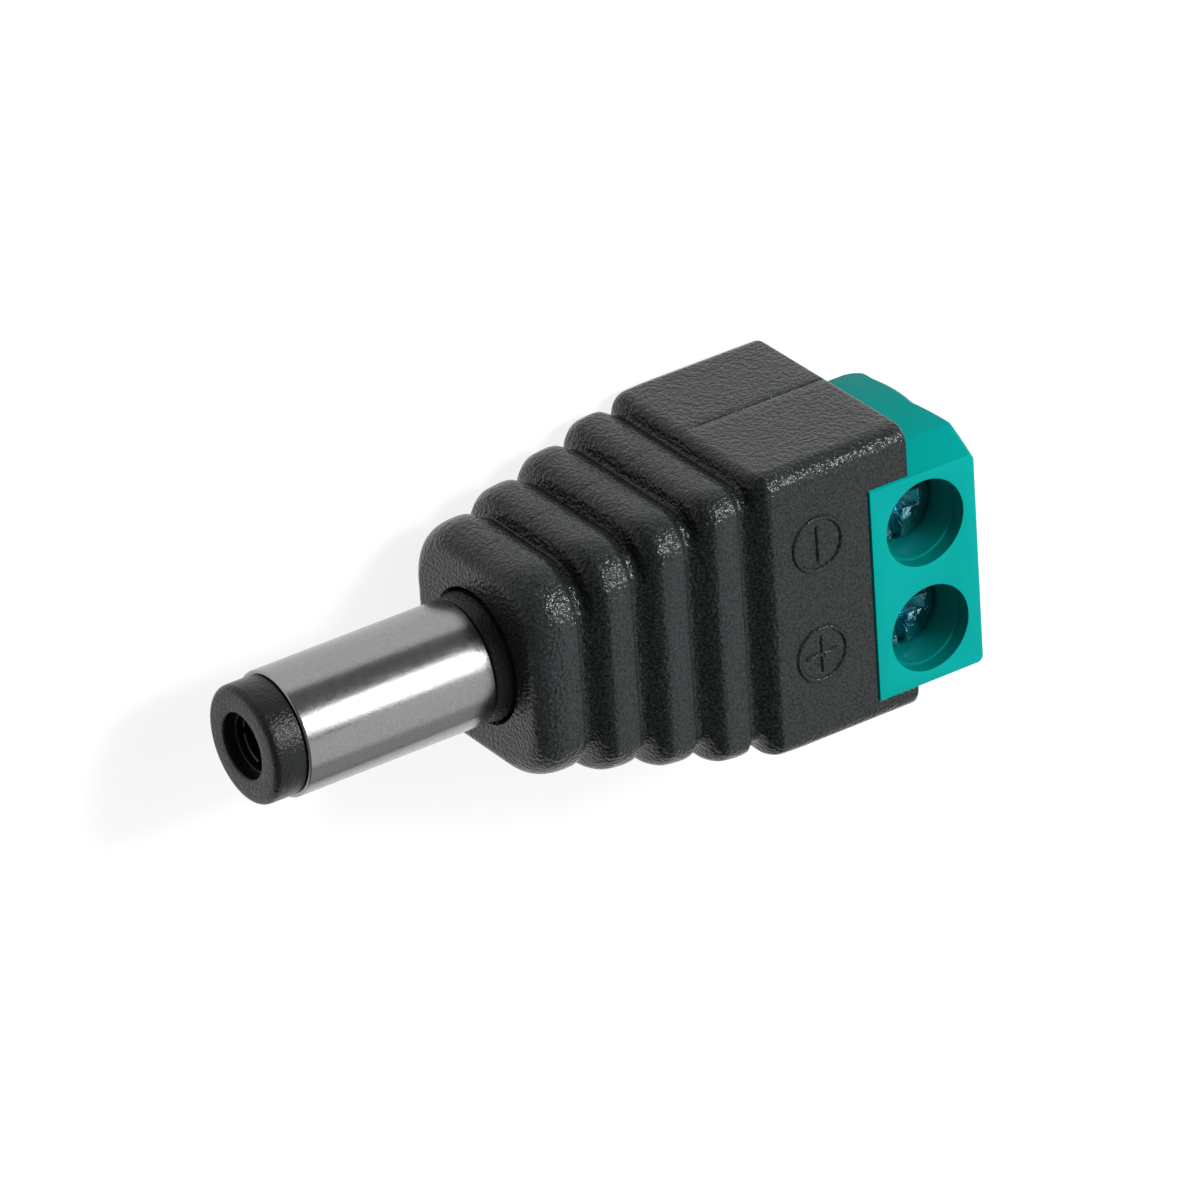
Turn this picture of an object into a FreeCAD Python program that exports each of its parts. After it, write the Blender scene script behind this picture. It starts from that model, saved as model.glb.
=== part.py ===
import FreeCAD, Part
import os
from math import cos, radians, sin
import Sketcher

# DC barrel plug with a two-pole screw terminal block, in millimetres.
# The plug's axis is X: the barrel points to -X and the wires enter from +X.
# The origin lies on the axis at the front face of the shell.
# Each piece is drawn with the screws facing -Y and the minus pole above the plus pole,
# and then laid down on the plain side, as the plug lies on a table, with the screws up.

# Each driving size is given once: its name, its value and what it measures.
DRIVING_SIZES = (
    ("shell_length", 18.1, "front face to rear edge of the half shells"),
    ("shell_half_height", 6.65, "axis to the top of the smooth rear section"),
    ("screw_side_depth", 5.8, "seam to the face with the screws"),
    ("plain_side_depth", 5.2, "seam to the opposite face"),
    ("shell_corner", 0.8, "corner radius of the smooth rear section"),
    ("front_half_height", 4.88, "axis to the crest of the first rib"),
    ("front_half_depth", 4.7, "seam to the crest of the first rib"),
    ("front_corner", 2.6, "corner radius of the first rib"),
    ("rib_height_step", 0.49, "each rib is this much taller than the one before"),
    ("screw_side_step", 0.26, "each rib is this much deeper on the screw side"),
    ("plain_side_step", 0.15, "each rib is this much deeper on the plain side"),
    ("corner_step", 0.42, "each rib's corners are this much tighter"),
    ("first_crest", 1.6, "front face to the crest of the first rib"),
    ("rib_pitch", 2.54, "crest to crest"),
    ("rib_wall_run", 0.25, "length of the steep front wall of a rib"),
    ("rib_rise_run", 1.3, "length of the rounded rise before a crest"),
    ("rib_rise", 0.5, "height of the rounded rise before a crest"),
    ("rib_fall_run", 1.05, "length of the fall behind a crest"),
    ("groove_depth", 0.38, "crest to the bottom of the groove behind it"),
    ("mouth_round", 0.85, "crest of the first rib to the front face's edge"),
    ("shoulder_run", 0.55, "rounding of the smooth section's front edge"),
    ("shoulder_drop", 0.3, "rounding of the smooth section's front edge"),
    ("rear_round", 0.25, "rounding of the rear edge"),
    ("mouth_radius", 2.9, "hole in the front face"),
    ("mouth_depth", 1.0, "front face to the flange's seat"),
    ("room_half_height", 3.7, "room for the solder tags"),
    ("room_half_depth", 3.0, "room for the solder tags"),
    ("lead_room_depth", 4.2, "seam to the floor of the room under the block"),
    ("lead_room_half_height", 4.0, "room under the block"),
    ("rear_wall", 0.8, "wall that closes the room under the block"),
    ("peg_radius", 0.5, "locating pegs of the plain half"),
    ("peg_length", 1.2, "locating pegs of the plain half"),
    ("front_peg_place", 4.0, "front face to the front pegs"),
    ("front_peg_height", 3.95, "axis to the front pegs"),
    ("rear_peg_place", 12.2, "front face to the rear pegs"),
    ("rear_peg_height", 5.0, "axis to the rear pegs"),
    ("sleeve_radius", 2.75, "outside of the barrel, a 5.5 mm plug"),
    ("sleeve_wall", 0.4, "wall of the barrel's sleeve"),
    ("sleeve_reach", 9.93, "front face of the shell to the sleeve's front end"),
    ("sleeve_edge", 0.08, "bevel of the sleeve's front edge"),
    ("tip_reach", 11.45, "front face of the shell to the plug's tip"),
    ("tip_radius", 2.59, "outside of the insulating tip"),
    ("tip_bore", 1.5, "mouth of the insulating tip"),
    ("tip_round", 0.18, "rounding of the tip's outer edge"),
    ("contact_radius", 1.42, "outside of the centre contact"),
    ("contact_bore", 1.05, "bore for a 2.1 mm centre pin"),
    ("contact_recess", 0.75, "tip face to the centre contact's end"),
    ("contact_floor", 0.17, "solid end of the centre contact's bore"),
    ("slit_width", 0.3, "slits that let the centre contact spring"),
    ("slit_length", 4.5, "slits that let the centre contact spring"),
    ("tail_radius", 0.8, "solid tail of the centre contact"),
    ("neck_radius", 2.2, "neck of the sleeve inside the core"),
    ("neck_wall", 0.3, "wall of the sleeve's neck"),
    ("neck_reach", 3.0, "front face of the shell to the neck's rear end"),
    ("liner_end", 1.5, "liner of the barrel ends this far before the shell"),
    ("collar_radius", 2.7, "collar behind the sleeve, at the flange"),
    ("collar_draft", 0.1, "the collar is this much slimmer at its front"),
    ("collar_reach", 0.78, "collar in front of the shell"),
    ("flange_radius", 3.55, "flange that the shells grip"),
    ("flange_length", 1.55, "flange that the shells grip"),
    ("core_radius", 2.95, "core behind the flange"),
    ("core_reach", 6.5, "front face of the shell to the core's rear end"),
    ("tag_thickness", 0.3, "sheet of the solder tags"),
    ("tag_width", 1.8, "width of the solder tags"),
    ("tag_reach", 3.0, "core to the free end of the solder tags"),
    ("rivet_length", 0.4, "centre contact's tail behind its tag"),
    ("block_reach", 3.2, "rear of the shell to the wire side of the block"),
    ("block_depth", 7.7, "terminal block along the plug"),
    ("tower_depth", 5.3, "part of the block that shows in the window"),
    ("block_height", 7.9, "screw face to base"),
    ("block_half_width", 5.68, "half of the block across its poles"),
    ("cheek_width", 0.65, "bevels beside the screw face"),
    ("cheek_length", 1.69, "bevels beside the screw face"),
    ("block_drop", 0.55, "the block sits this much below the plug's axis"),
    ("face_proud", 0.05, "screw face above the shell's face"),
    ("wire_side_bulge", 0.14, "two shallow crowns of the wire side"),
    ("crown_split", 4.15, "screw face to the line between the crowns"),
    ("base_round", 1.0, "rounded edge between wire side and base"),
    ("pole_pitch", 5.0, "screw to screw"),
    ("screw_inset", 2.6, "wire side to the screws' axes"),
    ("well_radius", 1.96, "wells that the screw heads sit in"),
    ("well_depth", 3.62, "screw face to the clamps' threaded plates"),
    ("entry_height", 2.4, "wire entries, from screw side to base"),
    ("entry_width", 3.0, "wire entries, across the poles"),
    ("clamp_width", 4.0, "clamp frame across the poles"),
    ("clamp_length", 4.4, "clamp frame along the wire"),
    ("clamp_sheet", 0.5, "sides and floor of the clamp frame"),
    ("thread_plate", 0.7, "threaded side of the clamp frame"),
    ("wire_space", 2.5, "clear height in the clamp frame"),
    ("entry_wall", 0.57, "wire side to the clamp frame"),
    ("head_radius", 1.75, "screw head"),
    ("head_thickness", 1.2, "screw head"),
    ("head_bevel", 0.2, "bevel round the screw head"),
    ("head_sunk", 2.1, "screw face to the top of a screw as photographed"),
    ("shank_radius", 1.45, "M3 screw, over its thread"),
    ("drive_width", 0.5, "slot and cross in the screw head"),
    ("drive_depth", 0.55, "slot and cross in the screw head"),
    ("cross_length", 2.1, "short arm of the cross in the screw head"),
    ("plate_thickness", 0.35, "pressure plate under each screw"),
    ("plate_length", 3.7, "pressure plate along the wire"),
    ("plate_lip", 0.3, "turned-up end of the pressure plate"),
    ("grip_gap", 0.4, "pressure plate to the clamp's floor as photographed"),
    ("pin_width", 1.0, "solder pins across the poles"),
    ("pin_thickness", 0.5, "solder pins"),
    ("pin_place", 4.5, "wire side to the solder pins"),
    ("pin_drop", 1.2, "base of the block to the bent leg of a pin"),
    ("pin_leg", 2.4, "bent leg of a solder pin"),
    ("lead_radius", 0.45, "leads from tags to pins"),
    ("lead_run", 1.2, "straight end of a lead"),
    ("solder_radius", 0.65, "solder cones at both ends of a lead, where they hold tag or pin"),
    ("solder_rim", 0.5, "thin end of a solder cone, round the lead"),
    ("solder_hold", 0.4, "length of tag or pin that a solder cone covers"),
    ("fit_gap", 0.03, "gap between pieces that are seated in each other"),
    ("turn_gap", 0.04, "running gap round the screws and pressure plates"),
)
RIB_COUNT = 4
SLIT_COUNT = 4
# Shares of a rounding: the angles of its sections, and the drop halfway down a curved slope.
RISE_ANGLES = (70, 35, 0)
SHOULDER_ANGLES = (75, 35, 0)
MOUTH_HALFWAY = 0.6
FALL_HALFWAY = 0.25
# How far the middle of a quarter arc lies inside its corner, as a share of the radius.
ARC_MIDDLE = 1 - cos(radians(45))


def fill_sheet(sheet, sizes):
    """Writes each size as a plain number beside its name."""
    for row, (name, value, meaning) in enumerate(sizes, start=1):
        sheet.set("A%d" % row, name)
        sheet.set("B%d" % row, str(value))
        sheet.set("C%d" % row, meaning)
        sheet.setAlias("B%d" % row, name)


doc = FreeCAD.newDocument("barrel_plug")
sheet = doc.addObject("Spreadsheet::Sheet", "Sizes")
fill_sheet(sheet, DRIVING_SIZES)
doc.recompute()


class Size:
    """A length, with the sheet expression that gives it."""

    def __init__(self, value, text):
        self.value = float(value)
        self.text = text

    def __add__(self, other):
        other = as_size(other)
        return Size(self.value + other.value, "(%s + %s)" % (self.text, other.text))

    def __sub__(self, other):
        other = as_size(other)
        return Size(self.value - other.value, "(%s - %s)" % (self.text, other.text))

    def __mul__(self, factor):
        return Size(self.value * factor, "(%s * %r)" % (self.text, factor))

    def __truediv__(self, divisor):
        return Size(self.value / divisor, "(%s / %r)" % (self.text, divisor))

    def __neg__(self):
        return Size(-self.value, "(0 - %s)" % self.text)


def as_size(number):
    """A plain number as a Size, and a Size as it is."""
    if isinstance(number, Size):
        return number
    return Size(number, repr(float(number)))


def size(name):
    """The named size of the sheet."""
    return Size(sheet.get(name), "Sizes." + name)


ZERO = as_size(0)
SUB_PARTS = []
LAID_DOWN = FreeCAD.Placement(FreeCAD.Vector(0, 0, 0),
                              FreeCAD.Rotation(FreeCAD.Vector(1, 0, 0), -90))


def bind(target, path, length):
    """Ties a property of an object to a size."""
    target.setExpression(path, length.text)


def new_body(name):
    body = doc.addObject("PartDesign::Body", name)
    body.Label = name
    body.Placement = LAID_DOWN
    SUB_PARTS.append(body)
    return body


def new_sketch(body, name, role, x=ZERO, y=ZERO, z=ZERO):
    """A sketch on the body's own origin plane, moved by x, y and z in the plane's axes."""
    sketch = body.newObject("Sketcher::SketchObject", name)
    plane = next(item for item in body.Origin.OriginFeatures if item.Role == role)
    sketch.AttachmentSupport = [(plane, "")]
    sketch.MapMode = "FlatFace"
    for axis, shift in (("x", x), ("y", y), ("z", z)):
        if shift is not ZERO:
            bind(sketch, "AttachmentOffset.Base." + axis, shift)
    return sketch


def place_point(sketch, edge, end, x, y):
    """Fixes one end of an edge at x, y in the sketch."""
    for kind, length in (("DistanceX", x), ("DistanceY", y)):
        index = sketch.addConstraint(Sketcher.Constraint(kind, -1, 1, edge, end, length.value))
        if length is not ZERO:
            bind(sketch, "Constraints[%d]" % index, length)


def draw_line(sketch, start, end):
    points = [FreeCAD.Vector(x.value, y.value, 0) for x, y in (start, end)]
    return sketch.addGeometry(Part.LineSegment(*points), False)


def draw_polygon(sketch, corners):
    """A closed outline of straight edges through the corners."""
    following = corners[1:] + corners[:1]
    edges = [draw_line(sketch, start, end) for start, end in zip(corners, following)]
    for edge, after in zip(edges, edges[1:] + edges[:1]):
        sketch.addConstraint(Sketcher.Constraint("Coincident", edge, 2, after, 1))
    for edge, (x, y) in zip(edges, corners):
        place_point(sketch, edge, 1, x, y)


def draw_rectangle(sketch, left, right, low, high):
    draw_polygon(sketch, [(left, low), (right, low), (right, high), (left, high)])


def draw_circle(sketch, x, y, radius):
    centre = FreeCAD.Vector(x.value, y.value, 0)
    circle = sketch.addGeometry(Part.Circle(centre, FreeCAD.Vector(0, 0, 1), radius.value), False)
    place_point(sketch, circle, 3, x, y)
    index = sketch.addConstraint(Sketcher.Constraint("Radius", circle, radius.value))
    bind(sketch, "Constraints[%d]" % index, radius)


def draw_arc(sketch, start, middle, end):
    """An arc from start to end, with its middle at the third point."""
    points = [FreeCAD.Vector(x.value, y.value, 0) for x, y in (start, middle, end)]
    return sketch.addGeometry(Part.Arc(*points), False)


def add_pad(body, sketch, length, both_ways=False, backwards=False):
    pad = body.newObject("PartDesign::Pad", sketch.Name + "_pad")
    pad.Profile = sketch
    bind(pad, "Length", length)
    pad.Midplane = both_ways
    pad.Reversed = backwards
    return pad


def add_pocket(body, sketch, length, both_ways=False, backwards=False):
    pocket = body.newObject("PartDesign::Pocket", sketch.Name + "_pocket")
    pocket.Profile = sketch
    bind(pocket, "Length", length)
    pocket.Midplane = both_ways
    pocket.Reversed = backwards
    return pocket


def add_turned(body, sketch, axis, cut=False):
    """A full turn of the sketch about its own horizontal or vertical axis."""
    kind = "PartDesign::Groove" if cut else "PartDesign::Revolution"
    turned = body.newObject(kind, sketch.Name + "_turned")
    turned.Profile = sketch
    turned.ReferenceAxis = (sketch, [axis])
    turned.Angle = 360
    return turned


# Places that several pieces share, worked out from the driving sizes.
GAP = size("fit_gap")
RUN = size("turn_gap")
SCREW_FACE = -(size("screw_side_depth") + size("face_proud"))
BLOCK_BASE = SCREW_FACE + size("block_height")
CHEEK_FOOT = SCREW_FACE + size("cheek_length")
WIRE_SIDE = size("shell_length") + size("block_reach")
TOWER_FRONT = WIRE_SIDE - size("tower_depth")
BLOCK_FRONT = WIRE_SIDE - size("block_depth")
BLOCK_AXIS = -size("block_drop")
FACE_HALF_WIDTH = size("block_half_width") - size("cheek_width")
SCREW_PLACE = WIRE_SIDE - size("screw_inset")
CLAMP_REAR = WIRE_SIDE - size("entry_wall") - GAP
CLAMP_FRONT = CLAMP_REAR - size("clamp_length")
THREAD_TOP = SCREW_FACE + size("well_depth") + GAP
THREAD_FOOT = THREAD_TOP + size("thread_plate")
CLAMP_FLOOR = THREAD_FOOT + size("wire_space")
CLAMP_FOOT = CLAMP_FLOOR + size("clamp_sheet")
PLATE_FOOT = CLAMP_FLOOR - size("grip_gap")
PLATE_TOP = PLATE_FOOT - size("plate_thickness")
PIN_PLACE = WIRE_SIDE - size("pin_place")
PIN_LEG = BLOCK_BASE + size("pin_drop")
FLANGE_FRONT = size("mouth_depth") + GAP
POLES = (
    ("minus", BLOCK_AXIS + size("pole_pitch") / 2),
    ("plus", BLOCK_AXIS - size("pole_pitch") / 2),
)


class Section:
    """A rounded rectangle across the axis; the shell halves are lofted through its halves."""

    def __init__(self, place, inset, height, screw_depth, plain_depth, corner):
        self.place = place
        self.height = height - inset
        self.screw_depth = screw_depth - inset
        self.plain_depth = plain_depth - inset
        self.corner = corner

    def draw(self, body, name, side):
        """The half on one side of the seam: -1 is the screw side, 1 the plain side."""
        depth = self.screw_depth if side < 0 else self.plain_depth
        sketch = new_sketch(body, name, "YZ_Plane", z=self.place)
        wide = depth * side
        inner = (depth - self.corner) * side
        high = self.height
        shoulder = self.height - self.corner
        bend = self.corner * ARC_MIDDLE
        knee = (depth - bend) * side
        top = draw_line(sketch, (ZERO, high), (inner, high))
        upper = draw_arc(sketch, (inner, high), (knee, high - bend), (wide, shoulder))
        face = draw_line(sketch, (wide, shoulder), (wide, -shoulder))
        lower = draw_arc(sketch, (wide, -shoulder), (knee, -(high - bend)), (inner, -high))
        foot = draw_line(sketch, (inner, -high), (ZERO, -high))
        seam = draw_line(sketch, (ZERO, -high), (ZERO, high))
        # an arc is stored anticlockwise, so on the plain side its ends are swapped
        first, last = (1, 2) if side < 0 else (2, 1)
        for edge, end, after, start in (
                (top, 2, upper, first), (upper, last, face, 1), (face, 2, lower, first),
                (lower, last, foot, 1), (foot, 2, seam, 1), (seam, 2, top, 1)):
            sketch.addConstraint(Sketcher.Constraint("Coincident", edge, end, after, start))
        for edge, x, y in ((top, ZERO, high), (face, wide, shoulder), (foot, inner, -high),
                           (seam, ZERO, -high)):
            place_point(sketch, edge, 1, x, y)
        place_point(sketch, top, 2, inner, high)
        place_point(sketch, face, 2, wide, -shoulder)
        for arc in (upper, lower):
            index = sketch.addConstraint(Sketcher.Constraint("DistanceX", -1, 1, arc, 3, inner.value))
            bind(sketch, "Constraints[%d]" % index, inner)
        return sketch


def rib_section(rib, place, inset):
    """A section of one rib, given its place and how far it lies below the rib's crest."""
    return Section(place, inset,
                   size("front_half_height") + size("rib_height_step") * rib,
                   size("front_half_depth") + size("screw_side_step") * rib,
                   size("front_half_depth") + size("plain_side_step") * rib,
                   size("front_corner") - size("corner_step") * rib)


def rear_section(place, inset):
    """A section of the smooth rear part."""
    return Section(place, inset, size("shell_half_height"), size("screw_side_depth"),
                   size("plain_side_depth"), size("shell_corner"))


def shell_sections():
    """The ribbed front and the smooth rear, from the front face to the rear edge."""
    sections = []
    rise_run = size("rib_rise_run")
    rise = size("rib_rise")
    wall = size("rib_wall_run")
    for rib in range(RIB_COUNT):
        crest = size("first_crest") + size("rib_pitch") * rib
        if rib == 0:
            sections.append(rib_section(rib, ZERO, size("mouth_round")))
            sections.append(rib_section(rib, (crest - rise_run) / 2, size("mouth_round") * MOUTH_HALFWAY))
        # a quarter ellipse rises from the wall's edge to the crest
        for turn in RISE_ANGLES:
            reach = sin(radians(turn))
            dip = 1 - cos(radians(turn))
            sections.append(rib_section(rib, crest - rise_run * reach, rise * dip))
        sections.append(rib_section(rib, crest + size("rib_fall_run") / 2,
                                    size("groove_depth") * FALL_HALFWAY))
        sections.append(rib_section(rib, crest + size("rib_fall_run"), size("groove_depth")))
    groove = crest + size("rib_fall_run")
    shoulder = groove + wall
    run = size("shoulder_run")
    drop = size("shoulder_drop")
    for turn in SHOULDER_ANGLES:
        sections.append(rear_section(shoulder + run * (1 - sin(radians(turn))),
                                     drop * (1 - cos(radians(turn)))))
    rear = size("shell_length")
    sections.append(rear_section(rear - size("rear_round"), ZERO))
    sections.append(rear_section(rear, size("rear_round")))
    return sections


def loft_shell(body, side):
    sketches = [section.draw(body, "%s_section_%02d" % (body.Name, index), side)
                for index, section in enumerate(shell_sections())]
    loft = body.newObject("PartDesign::AdditiveLoft", body.Name + "_loft")
    loft.Profile = sketches[0]
    loft.Sections = sketches[1:]
    loft.Ruled = True
    return loft


def cut_core_seat(body):
    """The round seat of the core: mouth, flange groove and the bore behind it."""
    sketch = new_sketch(body, body.Name + "_core_seat", "XY_Plane")
    mouth = size("mouth_radius")
    groove = size("flange_radius") + GAP
    bore = size("core_radius") + GAP
    groove_end = FLANGE_FRONT + size("flange_length") + GAP
    front = -size("collar_reach")
    rear = size("core_reach") + GAP
    draw_polygon(sketch, [
        (front, ZERO), (rear, ZERO), (rear, bore), (groove_end, bore), (groove_end, groove),
        (size("mouth_depth"), groove), (size("mouth_depth"), mouth), (front, mouth)])
    add_turned(body, sketch, "H_Axis", cut=True)


def cut_tag_room(body, side):
    """The room behind the core, from the seam outwards."""
    sketch = new_sketch(body, body.Name + "_tag_room", "XZ_Plane")
    half = size("room_half_height")
    draw_rectangle(sketch, size("core_reach"), BLOCK_FRONT, -half, half)
    add_pocket(body, sketch, size("room_half_depth"), backwards=side < 0)


def cut_block_seat(body, side):
    """The seat of the terminal block: its wide base and, on the screw side, its tower."""
    rear = size("shell_length")
    half = size("block_half_width") + GAP
    sketch = new_sketch(body, body.Name + "_block_seat", "YZ_Plane", z=rear)
    depth = BLOCK_BASE if side > 0 else CHEEK_FOOT - GAP
    draw_rectangle(sketch, ZERO, depth, BLOCK_AXIS - half, BLOCK_AXIS + half)
    add_pocket(body, sketch, rear - BLOCK_FRONT + GAP)
    if side > 0:
        return
    window = new_sketch(body, body.Name + "_window", "YZ_Plane", z=rear)
    face_half = FACE_HALF_WIDTH + GAP
    outside = SCREW_FACE - size("rear_round")
    draw_polygon(window, [
        (outside, BLOCK_AXIS - face_half), (SCREW_FACE, BLOCK_AXIS - face_half),
        (CHEEK_FOOT, BLOCK_AXIS - half), (CHEEK_FOOT, BLOCK_AXIS + half),
        (SCREW_FACE, BLOCK_AXIS + face_half), (outside, BLOCK_AXIS + face_half)])
    add_pocket(body, window, rear - TOWER_FRONT + GAP)


def peg_places():
    return ((size("front_peg_place"), size("front_peg_height")),
            (size("rear_peg_place"), size("rear_peg_height")))


def make_screw_side_shell():
    body = new_body("screw_side_shell")
    loft_shell(body, -1)
    cut_core_seat(body)
    cut_tag_room(body, -1)
    cut_block_seat(body, -1)
    sockets = new_sketch(body, "peg_sockets", "XZ_Plane")
    for place, height in peg_places():
        draw_circle(sockets, place, height, size("peg_radius") + GAP)
        draw_circle(sockets, place, -height, size("peg_radius") + GAP)
    add_pocket(body, sockets, size("peg_length") + GAP, backwards=True)


def make_plain_side_shell():
    body = new_body("plain_side_shell")
    loft_shell(body, 1)
    cut_core_seat(body)
    cut_tag_room(body, 1)
    cut_block_seat(body, 1)
    lead_room = new_sketch(body, "lead_room", "XZ_Plane")
    half = size("lead_room_half_height")
    rear = size("shell_length") - size("rear_wall")
    draw_rectangle(lead_room, BLOCK_FRONT - size("lead_run") * 2, rear, -half, half)
    add_pocket(body, lead_room, size("lead_room_depth"))
    pegs = new_sketch(body, "pegs", "XZ_Plane")
    for place, height in peg_places():
        draw_circle(pegs, place, height, size("peg_radius"))
        draw_circle(pegs, place, -height, size("peg_radius"))
    add_pad(body, pegs, size("peg_length"))


def make_terminal_housing():
    body = new_body("terminal_housing")
    half = size("block_half_width")
    plan = new_sketch(body, "block_plan", "XY_Plane", z=BLOCK_AXIS)
    split = SCREW_FACE + size("crown_split")
    round_start = BLOCK_BASE - size("base_round")
    crown = WIRE_SIDE + size("wire_side_bulge")
    corner = size("base_round") * ARC_MIDDLE
    outline = [(BLOCK_FRONT, CHEEK_FOOT), (TOWER_FRONT, CHEEK_FOOT), (TOWER_FRONT, SCREW_FACE),
               (WIRE_SIDE, SCREW_FACE)]
    edges = [draw_line(plan, start, end) for start, end in zip(outline, outline[1:])]
    edges.append(draw_arc(plan, (WIRE_SIDE, SCREW_FACE), (crown, (SCREW_FACE + split) / 2),
                          (WIRE_SIDE, split)))
    edges.append(draw_arc(plan, (WIRE_SIDE, split), (crown, (split + round_start) / 2),
                          (WIRE_SIDE, round_start)))
    edges.append(draw_arc(plan, (WIRE_SIDE, round_start), (WIRE_SIDE - corner, BLOCK_BASE - corner),
                          (WIRE_SIDE - size("base_round"), BLOCK_BASE)))
    edges.append(draw_line(plan, (WIRE_SIDE - size("base_round"), BLOCK_BASE),
                           (BLOCK_FRONT, BLOCK_BASE)))
    edges.append(draw_line(plan, (BLOCK_FRONT, BLOCK_BASE), (BLOCK_FRONT, CHEEK_FOOT)))
    for edge, after in zip(edges, edges[1:] + edges[:1]):
        plan.addConstraint(Sketcher.Constraint("Coincident", edge, 2, after, 1))
    starts = outline + [(WIRE_SIDE, split), (WIRE_SIDE, round_start),
                        (WIRE_SIDE - size("base_round"), BLOCK_BASE), (BLOCK_FRONT, BLOCK_BASE)]
    for edge, (x, y) in zip(edges, starts):
        place_point(plan, edge, 1, x, y)
    # each crown's arc passes through the bulge at its middle
    for arc, low, high in ((edges[3], SCREW_FACE, split), (edges[4], split, round_start)):
        middle = draw_line(plan, (WIRE_SIDE, (low + high) / 2), (crown, (low + high) / 2))
        plan.setConstruction(middle, True)
        place_point(plan, middle, 1, WIRE_SIDE, (low + high) / 2)
        place_point(plan, middle, 2, crown, (low + high) / 2)
        plan.addConstraint(Sketcher.Constraint("PointOnObject", middle, 2, arc))
    index = plan.addConstraint(
        Sketcher.Constraint("Radius", edges[5], size("base_round").value))
    bind(plan, "Constraints[%d]" % index, size("base_round"))
    add_pad(body, plan, half * 2, both_ways=True)

    cheeks = new_sketch(body, "cheeks", "YZ_Plane", z=TOWER_FRONT)
    for side in (-1, 1):
        face = BLOCK_AXIS + FACE_HALF_WIDTH * side
        flank = BLOCK_AXIS + half * side
        draw_polygon(cheeks, [(SCREW_FACE, face), (CHEEK_FOOT, flank), (SCREW_FACE, flank)])
    add_pocket(body, cheeks, size("tower_depth") + size("wire_side_bulge"), backwards=True)

    clamp_seats = new_sketch(body, "clamp_seats", "XZ_Plane", z=-BLOCK_BASE)
    wells = new_sketch(body, "wells", "XZ_Plane", z=-SCREW_FACE)
    entries = new_sketch(body, "wire_entries", "YZ_Plane", z=WIRE_SIDE + size("wire_side_bulge"))
    seat_half = size("clamp_width") / 2 + GAP
    entry_middle = CLAMP_FLOOR - size("wire_space") / 2
    for _, height in POLES:
        draw_rectangle(clamp_seats, CLAMP_FRONT - GAP, CLAMP_REAR + GAP,
                       height - seat_half, height + seat_half)
        draw_circle(wells, SCREW_PLACE, height, size("well_radius"))
        draw_rectangle(entries, entry_middle - size("entry_height") / 2,
                       entry_middle + size("entry_height") / 2,
                       height - size("entry_width") / 2, height + size("entry_width") / 2)
    add_pocket(body, clamp_seats, BLOCK_BASE - THREAD_TOP + GAP, backwards=True)
    add_pocket(body, wells, size("well_depth") + GAP)
    add_pocket(body, entries, size("entry_wall") + size("wire_side_bulge") + GAP)


def make_barrel():
    """The barrel's sleeve, its insulating tip and liner, and the centre contact."""
    sleeve = new_body("barrel_sleeve")
    outside = size("sleeve_radius")
    lining = outside - size("sleeve_wall")
    neck = size("neck_radius")
    front = -size("sleeve_reach")
    rear = -size("collar_reach")
    neck_front = -size("liner_end")
    profile = new_sketch(sleeve, "sleeve_profile", "XY_Plane")
    draw_polygon(profile, [
        (front, lining), (front, outside - size("sleeve_edge")),
        (front + size("sleeve_edge"), outside), (rear, outside), (rear, neck),
        (size("neck_reach"), neck), (size("neck_reach"), neck - size("neck_wall")),
        (neck_front, neck - size("neck_wall")), (neck_front, lining)])
    add_turned(sleeve, profile, "H_Axis")

    tip = new_body("tip_insulator")
    tip_face = -size("tip_reach")
    contact_end = tip_face + size("contact_recess")
    bead = size("tip_round")
    profile = new_sketch(tip, "tip_profile", "XY_Plane")
    hold = size("contact_radius") + GAP
    draw_polygon(profile, [
        (tip_face, size("tip_bore")), (tip_face, size("tip_radius") - bead),
        (tip_face + bead * ARC_MIDDLE, size("tip_radius") - bead * ARC_MIDDLE),
        (tip_face + bead, size("tip_radius")),
        (front - GAP, size("tip_radius")), (front - GAP, lining - GAP),
        (neck_front - GAP, lining - GAP), (neck_front - GAP, hold), (contact_end, hold),
        (contact_end, size("tip_bore"))])
    add_turned(tip, profile, "H_Axis")

    contact = new_body("centre_contact")
    bore_end = neck_front - GAP - size("contact_floor")
    tail = size("tail_radius")
    tail_end = size("core_reach") + size("tag_thickness") + size("rivet_length")
    profile = new_sketch(contact, "contact_profile", "XY_Plane")
    draw_polygon(profile, [
        (contact_end + GAP, size("contact_bore")), (contact_end + GAP, size("contact_radius")),
        (neck_front - GAP, size("contact_radius")), (neck_front - GAP, tail),
        (tail_end, tail), (tail_end, ZERO), (bore_end, ZERO), (bore_end, size("contact_bore"))])
    add_turned(contact, profile, "H_Axis")
    slit = new_sketch(contact, "contact_slit", "XZ_Plane")
    half = size("slit_width") / 2
    draw_rectangle(slit, contact_end, contact_end + size("slit_length"), -half, half)
    cut = add_pocket(contact, slit, size("contact_radius") + GAP)
    pattern = contact.newObject("PartDesign::PolarPattern", "contact_slits")
    axis = next(item for item in contact.Origin.OriginFeatures if item.Role == "X_Axis")
    pattern.Originals = [cut]
    pattern.Axis = (axis, [""])
    pattern.Angle = 360
    pattern.Occurrences = SLIT_COUNT
    contact.Tip = pattern


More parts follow.
